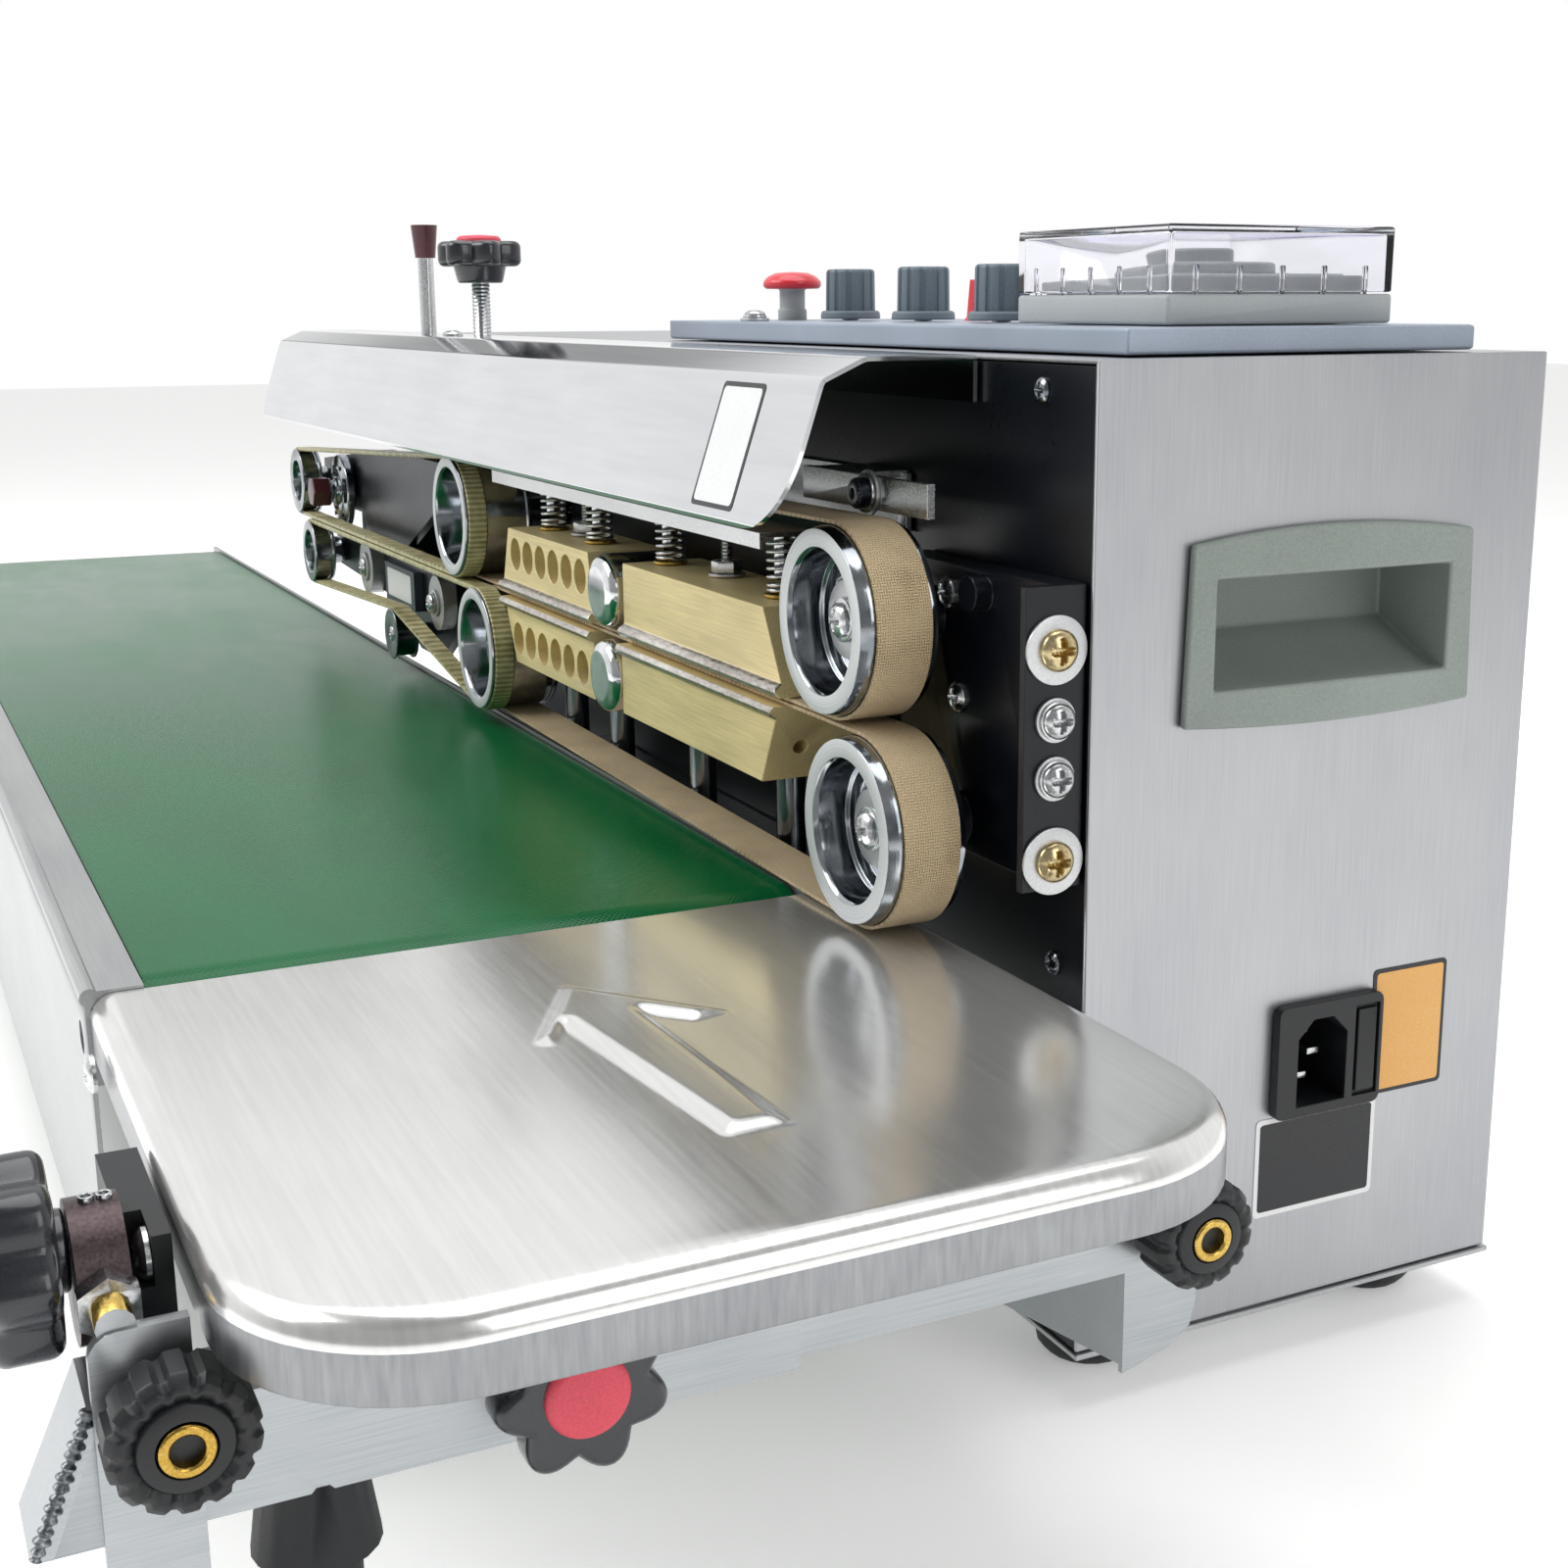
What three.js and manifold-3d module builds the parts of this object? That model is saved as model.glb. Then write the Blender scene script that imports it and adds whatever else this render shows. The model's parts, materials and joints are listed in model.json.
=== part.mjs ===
// Continuous band sealer with an infeed conveyor.
// Millimetres, +Z up, +X towards the infeed end, -Y towards the operator.
import * as THREE from 'three';
import { mergeVertices } from 'three/addons/utils/BufferGeometryUtils.js';
import Module from 'manifold-3d';

const wasm = await Module();
wasm.setup();

// ---- driving dimensions -------------------------------------------------
const GAP = 0.3;                 // air left between neighbouring pieces
const CASE_L = 560;              // casing length, along X
const CASE_D = 141.5;            // casing depth, along Y
const CASE_H = 258.5;            // casing height above its feet
const FOOT_H = 14.5;             // rubber foot height
const SHEET = 1.2;               // folded stainless sheet
const PLATE = 1.5;               // flat panels
const TOP = FOOT_H + CASE_H;     // top of the casing
const HOOD_LEFT = -CASE_L - 153; // left end of the hood
const HOOD_RIGHT = -56;          // right end of the hood
const HOOD_REACH = 58;           // how far the hood hangs out in front
const HOOD_DROP = 44;            // how far the hood's lip hangs down
const BAND_T = 0.9;              // sealing band thickness
const BAND_FRONT = -39;          // front edge of the sealing bands
const BAND_BACK = -23;           // back edge of the sealing bands
const IDLER_R = 26.2;            // idler wheel with its band on
const DRIVE_R = 24.4;            // drive wheel with its band or belt on
const HEADROOM = 41.8;           // from the top of the upper idler to the casing's top
const NIP = TOP - HEADROOM - 2 * IDLER_R; // height of the sealing line
const IDLER_X = [-64, -49];      // idler wheel centres, upper and lower
const DRIVE_X = [-CASE_L + 166, -CASE_L + 194]; // drive wheel centres, upper and lower
const WHEEL_FACE = -43;          // front face of the idler wheels
const DRIVE_FACE = -48;          // front face of the drive wheels
const BELT_T = 2;                // guide belt thickness
const BELT_W = 7.4;              // guide belt width
const PULLEY_R = [17.4, 16.6];   // guide pulleys with the belt on, upper and lower
const PULLEY_X = [-CASE_L - 122, -CASE_L - 102]; // guide pulley centres
const JOCKEY_R = 10.5;           // belt tensioning pulley
const JOCKEY_X = -CASE_L + 60;
const JOCKEY_Z = NIP - 37.5;
const BLOCK_FRONT = -41;         // front face of the heating and cooling blocks
const BLOCK_BACK = -13;
const BLOCK_TOP = 25;            // block height above the sealing line
const SPRING_X = [-322, -272, -205, -118];
const SPRING_R = 5.2;
const POST_X = [-335, -285, -208, -138];
const POST_Y = -17;
const HOLE_X = -330;             // first cooling hole
const HOLE_PITCH = 14.5;
const PRESS_X = -231;            // pressing wheels between the blocks
const PRESS_R = 13.6;
const SHELF_DROP = 3.9;          // spring shelf below the top of the lower wheel pair
const SHELF_Z = NIP + 2 * Math.min(IDLER_R, DRIVE_R) - SHELF_DROP; // shelf that carries the springs
const BELT_CLEAR = 1.7;          // conveyor belt below the lower sealing band
const BELT_TOP = NIP - GAP - 2 * IDLER_R - BELT_CLEAR; // top of the conveyor belt
const BELT_Y = [-213.4, -36.6];  // conveyor belt edges
const CONV_LEFT = -1030;         // far end of the conveyor
const TRAY_LEFT = -86;           // tray edge next to the belt
const TRAY_RIGHT = 110;          // outer end of the tray
const TRAY_FRONT = -227;
const TRAY_BACK = -18;
const TRAY_TOP = BELT_TOP + 0.8;
const TRAY_SKIRT = 15.8;          // depth of the tray's folded edge
const TRAY_CORNER = 40;
const ROLLER_R = 12.5;
const CONV_BELT_T = 1.6;
const APRON_LOW = 24;            // lower edge of the conveyor's front apron
const ARM_X = [40, 60];          // outer support arm, across
const ARM_Z = [BELT_TOP - 55.2, BELT_TOP - 31.2]; // outer support arm, low and high
const ARM_WALL = 1.6;
const PANEL_T = 6.5;             // control panel thickness
const PANEL_X = [-302, -6];
const PANEL_Y = [12, 121.5];
const KNOB_X = [-242, -189, -139];
const KNOB_Y = 56;
const BUTTON_AT = [-277, 50];
const LEVER_AT = [-203, 84];
const STUD_AT = [-CASE_L + 137, -22]; // pressure screw on the hood
const ROD_AT = [-CASE_L + 55, -22]; // lift rod on the hood
const CODER_AT = [-CASE_L - 80, NIP + 15.2];
const RAIL_AT = [35, BELT_TOP - 12.9]; // height clamp under the tray's front edge, x and z
const GEAR_TEETH = 19;

const BLACK = 0x10141c;
const STEEL = 0xb9bab8;
const CHROME = 0xd2d4d6;
const BRASS = 0xc9bb8a;
const RUBBER = 0x16181b;
const PLASTIC = 0x1c2026;
const SLATE = 0x5a6a72;

// ---- shape helpers ------------------------------------------------------
function solid(geometry) {
  const bare = geometry.index ? geometry.toNonIndexed() : geometry.clone();
  for (const key of Object.keys(bare.attributes)) {
    if (key !== 'position') {
      bare.deleteAttribute(key);
    }
  }
  const merged = mergeVertices(bare, 1e-4);
  const verts = new Float32Array(merged.attributes.position.array);
  const tris = dropFlat(merged.index.array);
  const body = new wasm.Manifold(new wasm.Mesh({ numProp: 3, vertProperties: verts, triVerts: tris }));
  if (body.volume() > 0) {
    return body;
  }
  const turned = tris.slice();
  for (let i = 0; i < tris.length; i += 3) {
    turned[i + 1] = tris[i + 2];
    turned[i + 2] = tris[i + 1];
  }
  return new wasm.Manifold(new wasm.Mesh({ numProp: 3, vertProperties: verts, triVerts: turned }));
}

function dropFlat(index) {
  const kept = [];
  for (let i = 0; i < index.length; i += 3) {
    const [a, b, c] = [index[i], index[i + 1], index[i + 2]];
    if (a !== b && b !== c && c !== a) {
      kept.push(a, b, c);
    }
  }
  return new Uint32Array(kept);
}

function join(parts) {
  return parts.reduce((sum, part) => sum.add(part));
}

function cut(body, parts) {
  return parts.reduce((left, part) => left.subtract(part), body);
}

function box([x0, x1], [y0, y1], [z0, z1]) {
  const shape = new THREE.BoxGeometry(x1 - x0, y1 - y0, z1 - z0);
  shape.translate((x0 + x1) / 2, (y0 + y1) / 2, (z0 + z1) / 2);
  return solid(shape);
}

// A round bar or cone from a to b along one axis; u and v are its centre across.
function bar(axis, r, [a, b], u, v, sides = 16, rEnd = r) {
  const shape = new THREE.CylinderGeometry(rEnd, r, b - a, sides);
  if (axis === 'x') {
    shape.rotateZ(-Math.PI / 2);
    shape.translate((a + b) / 2, u, v);
  } else if (axis === 'y') {
    shape.translate(u, (a + b) / 2, v);
  } else {
    shape.rotateX(Math.PI / 2);
    shape.translate(u, v, (a + b) / 2);
  }
  return solid(shape);
}

// A turned piece about the Y axis: profile of [radius, y], placed at x, z.
function turnedY(profile, x, z, sides = 32) {
  const points = profile.map(([r, y]) => new THREE.Vector2(r, y));
  const shape = new THREE.LatheGeometry(points, sides);
  shape.translate(x, 0, z);
  return solid(shape);
}

function turnedZ(profile, x, y, sides = 24) {
  const points = profile.map(([r, h]) => new THREE.Vector2(r, h));
  const shape = new THREE.LatheGeometry(points, sides);
  shape.rotateX(Math.PI / 2);
  shape.translate(x, y, 0);
  return solid(shape);
}

function outline(points, holes = []) {
  const shape = new THREE.Shape(points.map(([a, b]) => new THREE.Vector2(a, b)));
  for (const hole of holes) {
    shape.holes.push(new THREE.Path(hole.map(([a, b]) => new THREE.Vector2(a, b))));
  }
  return shape;
}

function prismX(shape, [x0, x1]) {
  const body = new THREE.ExtrudeGeometry(shape, { depth: x1 - x0, bevelEnabled: false, curveSegments: 8 });
  body.applyMatrix4(new THREE.Matrix4().set(0, 0, 1, x0, 1, 0, 0, 0, 0, 1, 0, 0, 0, 0, 0, 1));
  return solid(body);
}

function prismY(shape, [y0, y1]) {
  const body = new THREE.ExtrudeGeometry(shape, { depth: y1 - y0, bevelEnabled: false, curveSegments: 8 });
  body.rotateX(Math.PI / 2);
  body.translate(0, y1, 0);
  return solid(body);
}

function prismZ(shape, [z0, z1]) {
  const body = new THREE.ExtrudeGeometry(shape, { depth: z1 - z0, bevelEnabled: false, curveSegments: 8 });
  body.translate(0, 0, z0);
  return solid(body);
}

// Points along an arc, from one angle to another.
function arc(cx, cy, r, from, to, steps) {
  const points = [];
  for (let i = 0; i <= steps; i += 1) {
    const a = from + ((to - from) * i) / steps;
    points.push([cx + r * Math.cos(a), cy + r * Math.sin(a)]);
  }
  return points;
}

function roundedBox([x0, x1], [y0, y1], r, steps = 5) {
  const q = Math.PI / 2;
  return [
    ...arc(x1 - r, y0 + r, r, -q, 0, steps),
    ...arc(x1 - r, y1 - r, r, 0, q, steps),
    ...arc(x0 + r, y1 - r, r, q, 2 * q, steps),
    ...arc(x0 + r, y0 + r, r, 2 * q, 3 * q, steps),
  ];
}

function lobed(lobes, rOut, rIn, perLobe) {
  const points = [];
  const total = lobes * perLobe;
  for (let i = 0; i < total; i += 1) {
    const a = (i / total) * 2 * Math.PI;
    const wave = Math.pow((1 + Math.cos(a * lobes)) / 2, 0.6);
    const r = rIn + (rOut - rIn) * wave;
    points.push([r * Math.cos(a), r * Math.sin(a)]);
  }
  return points;
}

function part(name, body, color, roughness, metalness) {
  const data = body.getMesh();
  const geometry = new THREE.BufferGeometry();
  geometry.setAttribute('position', new THREE.BufferAttribute(data.vertProperties, 3));
  geometry.setIndex(new THREE.BufferAttribute(data.triVerts, 1));
  geometry.computeVertexNormals();
  const material = new THREE.MeshStandardMaterial({ color, roughness, metalness });
  const mesh = new THREE.Mesh(geometry, material);
  mesh.name = name;
  return mesh;
}

// ---- loops round wheels -------------------------------------------------
// wheels: [{x, z, r, side}] in running order, side 1 inside the loop, -1 outside.
function tangent(p, q, rp, rq) {
  const dx = q.x - p.x;
  const dz = q.z - p.z;
  const d = Math.hypot(dx, dz);
  const base = Math.atan2(dz, dx);
  const a = base - Math.acos((rp - rq) / d);
  return [
    [p.x + rp * Math.cos(a), p.z + rp * Math.sin(a)],
    [q.x + rq * Math.cos(a), q.z + rq * Math.sin(a)],
  ];
}

function loopPath(wheels, offset) {
  const n = wheels.length;
  const radius = (w) => w.side * w.r + offset;
  const legs = wheels.map((w, i) => {
    const next = wheels[(i + 1) % n];
    return tangent(w, next, radius(w), radius(next));
  });
  const points = [];
  for (let i = 0; i < n; i += 1) {
    const w = wheels[i];
    const start = legs[(i + n - 1) % n][1];
    const end = legs[i][0];
    const a0 = Math.atan2(start[1] - w.z, start[0] - w.x);
    let a1 = Math.atan2(end[1] - w.z, end[0] - w.x);
    const turn = Math.sign(radius(w));
    while ((a1 - a0) * turn < 0) {
      a1 += turn * 2 * Math.PI;
    }
    const steps = Math.max(3, Math.round(Math.abs(a1 - a0) / 0.24));
    points.push(...arc(w.x, w.z, Math.abs(radius(w)), a0, a1, steps));
  }
  return points;
}

function loop(wheels, thickness, across) {
  const shape = outline(loopPath(wheels, thickness), [loopPath(wheels, 0)]);
  return prismY(shape, across);
}

// ---- casing -------------------------------------------------------------
const HANDLE_Y = [26, 119];
const HANDLE_Z = [TOP - 91, TOP - 45];
const HANDLE_WALL = 6.5;
const INLET_Y = [60, 95.5];
const INLET_Z = [FOOT_H + 56.5, FOOT_H + 88.5];
const SHAFT_R = 6;

function handleHole(x, [y0, y1]) {
  return box([x - 5, x + 5], [y0 + HANDLE_WALL - GAP, y1 - HANDLE_WALL + GAP],
    [HANDLE_Z[0] + HANDLE_WALL - GAP, HANDLE_Z[1] - HANDLE_WALL + GAP]);
}

function casingShell() {
  const low = FOOT_H + PLATE + GAP;
  const outer = box([-CASE_L, 0], [0, CASE_D], [low, TOP]);
  const inner = box([-CASE_L + SHEET, -SHEET], [-5, CASE_D + 5], [low - 5, TOP - SHEET]);
  const socket = box([-5, 5], [INLET_Y[0] + 1.6 - GAP, INLET_Y[1] - 1.6 + GAP],
    [INLET_Z[0] + 1.6 - GAP, INLET_Z[1] - 1.6 + GAP]);
  const far = [CASE_D - HANDLE_Y[1], CASE_D - HANDLE_Y[0]];
  const shell = cut(outer, [inner, handleHole(0, HANDLE_Y), handleHole(-CASE_L, far), socket]);
  return part('casing_shell', shell, STEEL, 0.35, 0.9);
}

function basePanel() {
  const inset = SHEET + 0.4;
  const floor = box([-CASE_L - 1, 1], [-0.5, CASE_D + 0.7], [FOOT_H, FOOT_H + PLATE]);
  const backX = [-CASE_L + inset, -inset];
  const back = box(backX, [CASE_D - 1.8, CASE_D - 0.3], [FOOT_H + 1, TOP - inset]);
  const slots = [];
  for (const x0 of [-CASE_L + 60, -150]) {
    for (let i = 0; i < 6; i += 1) {
      const z = 90 + i * 18;
      slots.push(box([x0, x0 + 90], [CASE_D - 10, CASE_D + 5], [z, z + 6]));
    }
  }
  return part('base_panel', cut(join([floor, back]), slots), STEEL, 0.4, 0.9);
}

function frontPanel() {
  const inset = SHEET + 0.4;
  const sheet = box([-CASE_L + inset, -inset], [0.4, 0.4 + PLATE], [FOOT_H + PLATE + GAP, TOP - inset]);
  const holes = DRIVE_X.map((x, i) => bar('y', SHAFT_R + 3, [-5, 8], x, wheelZ(DRIVE_R, i)));
  return part('front_panel', cut(sheet, holes), BLACK, 0.15, 0.3);
}

function wheelZ(r, i) {
  return i === 0 ? NIP + GAP + r : NIP - GAP - r;
}

function foot(name, x, y) {
  const profile = [[0, 0], [11.5, 0], [14.2, 3], [15.5, 9], [15.5, FOOT_H - GAP], [0, FOOT_H - GAP]];
  return part(name, turnedZ(profile, x, y, 20), RUBBER, 0.8, 0);
}

function feet() {
  const near = 22;
  const far = CASE_D - 21.5;
  return [
    foot('foot_front_right', -28, near),
    foot('foot_front_left', 28 - CASE_L, near),
    foot('foot_rear_right', -28, far),
    foot('foot_rear_left', 28 - CASE_L, far),
  ];
}

// The bezel's long edges bow outwards; the finger recess slopes in from its mouth.
function sideHandle(name, turned) {
  const [y0, y1] = HANDLE_Y;
  const [z0, z1] = HANDLE_Z;
  const shape = new THREE.Shape();
  const mid = (y0 + y1) / 2;
  shape.moveTo(y0, z0);
  shape.quadraticCurveTo(mid, z0 - 4, y1, z0);
  shape.lineTo(y1 - 1.5, z1);
  shape.quadraticCurveTo(mid, z1 + 7, y0 + 1.5, z1);
  const bezel = prismX(shape, [GAP, 2.8]);
  const w = HANDLE_WALL;
  const cup = box([-27, 1], [y0 + w, y1 - w], [z0 + w, z1 - w]);
  const mouth = outline([
    [6, z0 + 9], [6, z1 - 9], [-20, z1 - 9], [-25, z1 - 13], [-25, z0 + 20], [-3, z0 + 9],
  ].map(([x, z]) => [x, z]));
  const hollow = prismY(mouth, [y0 + 9, y1 - 9]);
  let body = join([bezel, cup]).subtract(hollow);
  if (turned) {
    body = body.rotate([0, 0, 180]).translate([-CASE_L, CASE_D, 0]);
  }
  return part(name, body, 0x7c8682, 0.5, 0);
}

function powerInlet() {
  const [y0, y1] = INLET_Y;
  const [z0, z1] = INLET_Z;
  const flange = prismX(outline(roundedBox([y0, y1], [z0, z1], 2.5, 3)), [GAP, 3.2]);
  const back = box([-26, 1], [y0 + 1.6, y1 - 1.6], [z0 + 1.6, z1 - 1.6]);
  const yc = 75;
  const recess = outline([[66.8, 74], [83.2, 74], [83.2, 93.4], [78.2, 98.4], [71.8, 98.4], [66.8, 93.4]]);
  const drawer = cut(box([1.8, 6], [86, 94.2], [74, 100]), [box([0, 4.2], [87, 93.2], [75.2, 98.8])]);
  const body = cut(join([flange, back]), [prismX(recess, [-18, 6]), drawer]);
  const pins = [79.5, 86, 92.5].map((z, i) => {
    const y = i === 1 ? yc + 3 : yc - 1;
    return box([-19, -4.5], [y - 2, y + 2], [z - 1, z + 1]);
  });
  return part('power_inlet', join([body, ...pins]), PLASTIC, 0.45, 0);
}

// ---- hood ---------------------------------------------------------------
function hood() {
  const t = SHEET;
  const skin = outline([
    [-0.4, TOP], [-33, TOP], [-45, TOP - 5], [-HOOD_REACH, TOP - HOOD_DROP],
    [-HOOD_REACH + t * 1.1, TOP - HOOD_DROP], [-44, TOP - 6], [-32.8, TOP - t],
    [-0.4 - t, TOP - t], [-0.4 - t, TOP - 12], [-0.4, TOP - 12],
  ]);
  const sheet = prismX(skin, [HOOD_LEFT, HOOD_RIGHT]);
  const r = 22;
  const right = HOOD_RIGHT;
  const low = TOP - HOOD_DROP;
  const corner = outline([[right + 5, low - 5], [right + 5, low + r],
    ...arc(right - r, low + r, r, 0, -Math.PI / 2, 6), [right - r, low - 5]]);
  const nick = outline([[HOOD_LEFT - 5, low - 5], [HOOD_LEFT + 8, low - 5], [HOOD_LEFT - 5, low + 12]]);
  const holes = [STUD_AT, ROD_AT].map(([x, y]) => bar('z', 4.6, [TOP - 8, TOP + 5], x, y));
  const body = cut(sheet, [
    prismY(corner, [-80, -30]),
    prismY(nick, [-80, -30]),
    ...holes,
  ]);
  return part('hood', body, 0xe2e4e6, 0.08, 1);
}

// Star knob with a threaded stud; it turns on the stud's axis.
function pressureKnob() {
  const [x, y] = STUD_AT;
  const star = prismZ(outline(lobed(6, 17, 12.5, 6)), [TOP + 28, TOP + 38]).translate([x, y, 0]);
  const hub = bar('z', 9, [TOP + 21.5, TOP + 29], x, y, 16, 10.5);
  const cap = bar('z', 9.5, [TOP + 37.5, TOP + 41], x, y, 20, 8.6);
  const stud = bar('z', 3.8, [TOP - 40, TOP + 24], x, y, 12);
  return part('pressure_knob', join([star, hub, cap, stud]), PLASTIC, 0.35, 0);
}

// ---- control panel ------------------------------------------------------
const PANEL_Z = TOP + 0.6;
const DECK = PANEL_Z + PANEL_T;

function controlPanel() {
  const plate = box(PANEL_X, PANEL_Y, [PANEL_Z, DECK]);
  const wells = KNOB_X.map((x) => bar('z', 3.6, [DECK - 5, DECK + 5], x, KNOB_Y, 12));
  const well = bar('z', 5.8, [DECK - 5.5, DECK + 5], BUTTON_AT[0], BUTTON_AT[1], 16);
  const [lx, ly] = LEVER_AT;
  const slot = box([lx - 3.4, lx + 3.4], [ly - 7.5, ly + 7.5], [DECK - 6, DECK + 5]);
  return part('control_panel', cut(plate, [...wells, well, slot]), 0x7f8fa0, 0.45, 0.5);
}

const METER = [[-92, -20], [33, 105]];

function thermostatBase() {
  const [xs, ys] = METER;
  const shelf = box(xs, ys, [DECK + GAP, DECK + 8]);
  const inset = 5;
  const island = box([xs[0] + inset, xs[1] - inset], [ys[0] + inset, ys[1] - inset], [DECK + 7, DECK + 13]);
  const xc = (xs[0] + xs[1]) / 2;
  const yc = (ys[0] + ys[1]) / 2;
  const dial = bar('z', 26, [DECK + 12, DECK + 15], xc, yc, 28);
  return part('thermostat_base', join([shelf, island, dial]), 0xb0b0ac, 0.5, 0);
}

function thermostatCover() {
  const [[x0, x1], [y0, y1]] = METER;
  const low = DECK + 8 + GAP;
  const t = 1.8;
  const outer = box([x0, x1], [y0, y1], [low, DECK + 25]);
  const inner = box([x0 + t, x1 - t], [y0 + t, y1 - t], [low - 5, DECK + 25 - t]);
  return part('thermostat_cover', outer.subtract(inner), 0xd8def0, 0.05, 0);
}

// Fluted knob with a skirt, set on a shaft that goes down into the panel.
function panelKnob(name, x) {
  const skirt = bar('z', 10.4, [DECK + 0.6, DECK + 3.2], x, KNOB_Y, 20, 9.8);
  const grip = prismZ(outline(lobed(12, 8.6, 7.9, 3)), [DECK + 3, DECK + 17.5]).translate([x, KNOB_Y, 0]);
  const shaft = bar('z', 3, [DECK - 4.5, DECK + 2], x, KNOB_Y, 12);
  return part(name, join([skirt, grip, shaft]), SLATE, 0.5, 0);
}

function stopButton() {
  const [x, y] = BUTTON_AT;
  const profile = [
    [0, DECK - 1], [5.4, DECK - 1], [5.4, DECK + 11], [10, DECK + 11.5],
    [10.6, DECK + 13], [9.6, DECK + 15.4], [6, DECK + 16.6], [0, DECK + 17],
  ];
  return part('stop_button', turnedZ(profile, x, y, 24), 0xd02030, 0.3, 0);
}

function toggleLever() {
  const [x, y] = LEVER_AT;
  const z = DECK - 1.5;
  const drum = bar('x', 3.6, [x - 2.6, x + 2.6], y, z, 14);
  const blade = prismX(outline([[y - 2.6, z], [y + 2.6, z], [y + 4.2, z + 15], [y - 1.2, z + 15]]),
    [x - 2.4, x + 2.4]);
  return part('toggle_lever', join([drum, blade]), 0xc01820, 0.35, 0);
}

// ---- sealing head -------------------------------------------------------
const AXLE_R = 4;

function endBracket() {
  const tall = [NIP - IDLER_R - 8.6, NIP + IDLER_R + 15];
  const plate = box([-5, -2.4], [-17.6, -0.2], tall);
  const web = box([-82, -4], [-9, -0.2], tall);
  const axles = IDLER_X.flatMap((x, i) => {
    const z = wheelZ(IDLER_R, i);
    return [
      bar('y', 7.5, [-17, -8], x, z, 20),
      bar('y', AXLE_R, [-34, -16], x, z, 16),
    ];
  });
  const stop = bar('y', 4.8, [-14, -8], -37, tall[1] - 6, 12);
  return part('end_bracket', join([plate, web, ...axles, stop]), BLACK, 0.2, 0.4);
}

function springShelf() {
  const left = -345;
  const right = -98;
  const deck = box([left, right], [-43, -0.4], [SHELF_Z, SHELF_Z + 1.5]);
  const lip = box([left, right], [-44.2, -42.8], [SHELF_Z - 3, SHELF_Z + 1.5]);
  const rear = box([left, -92], [-2, -0.4], [SHELF_Z, TOP - 33]);
  const arm = box([-122, -48], [-19.5, -17.2], [TOP - 41, TOP - 32]);
  const tie = box([-122, -94], [-18.5, -0.4], [TOP - 34.2, TOP - 32.2]);
  const screw = bar('y', 4.2, [-24, -19], -80, TOP - 36.5, 12);
  const pins = SPRING_X.map((x) => bar('z', 2.6, [NIP + BLOCK_TOP + 5.9, SHELF_Z + 1], x, -28, 10));
  return part('spring_bracket', join([deck, lip, rear, arm, tie, screw, ...pins]), 0xc8cacc, 0.25, 0.9);
}

function postRail() {
  const high = NIP - BLOCK_TOP - 1.5 - GAP;
  const low = BELT_TOP - 7.4;
  const rail = box([-345, -95], [-31, -0.4], [low, low + 2]);
  const posts = POST_X.map((x) => bar('z', 4.5, [low + 1, high], x, POST_Y, 14));
  return part('post_rail', join([rail, ...posts]), CHROME, 0.12, 1);
}

// A block seen from the front is a trapezium; its lip runs along the sealing line.
function block(name, upper, ends, holes) {
  const s = upper ? 1 : -1;
  const near = upper ? NIP + GAP + BAND_T + GAP : NIP - GAP - BAND_T - GAP;
  const lip = NIP + s * 5.4;
  const far = NIP + s * (BLOCK_TOP + 0.2);
  const face = [ends[0], ends[1], ends[2], ends[3]];
  const front = outline([[face[0], far], [face[1], far], [face[2], near], [face[3], near]]);
  const body = outline([[BLOCK_BACK, far], [BLOCK_BACK, near], [BLOCK_FRONT - 1.6, near],
    [BLOCK_FRONT - 2.6, near + s * 1.6], [BLOCK_FRONT - 1.8, lip - s], [BLOCK_FRONT, lip], [BLOCK_FRONT, far]]);
  let shape = prismY(front, [-50, -10]).intersect(prismX(body, [-360, -80]));
  const mid = (lip + far) / 2 + s * 0.6;
  for (let i = 0; i < holes; i += 1) {
    shape = shape.subtract(bar('y', 6, [-60, 0], HOLE_X + i * HOLE_PITCH, mid, 18));
  }
  if (!upper && holes === 0) {
    shape = shape.subtract(bar('x', 2.2, [-112, -80], -31, NIP - 15, 10));
  }
  return part(name, shape, BRASS, 0.3, 0.9);
}

// Two coil springs standing on one seat strip.
function springPair(name, xs) {
  const seat = NIP + BLOCK_TOP + 0.2 + GAP;
  const strip = box([xs[0] - 6, xs[1] + 6], [-33, -23], [seat, seat + 1]);
  const coils = xs.map((x) => bar('z', SPRING_R, [seat + 0.5, SHELF_Z - GAP], x, -28, 14));
  const bores = xs.map((x) => bar('z', 3.4, [seat - 2, SHELF_Z + 2], x, -28, 14));
  return part(name, cut(join([strip, ...coils]), bores), STEEL, 0.3, 1);
}

function idlerWheel(name, i) {
  const f = WHEEL_FACE;
  const rim = IDLER_R - BAND_T - GAP;
  const bore = AXLE_R + GAP;
  const profile = [
    [bore, -17.6], [bore, -33.5], [9, -33.5], [17.2, -31], [19.4, f], [24.6, f], [rim, f + 3.4],
    [rim, BAND_BACK], [rim + 0.3, BAND_BACK + 0.4], [rim + 0.3, BAND_BACK + 2], [9, -19.4], [9, -17.6],
    [bore, -17.6],
  ];
  return part(name, turnedY(profile, IDLER_X[i], wheelZ(IDLER_R, i), 28), CHROME, 0.12, 1);
}

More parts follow.
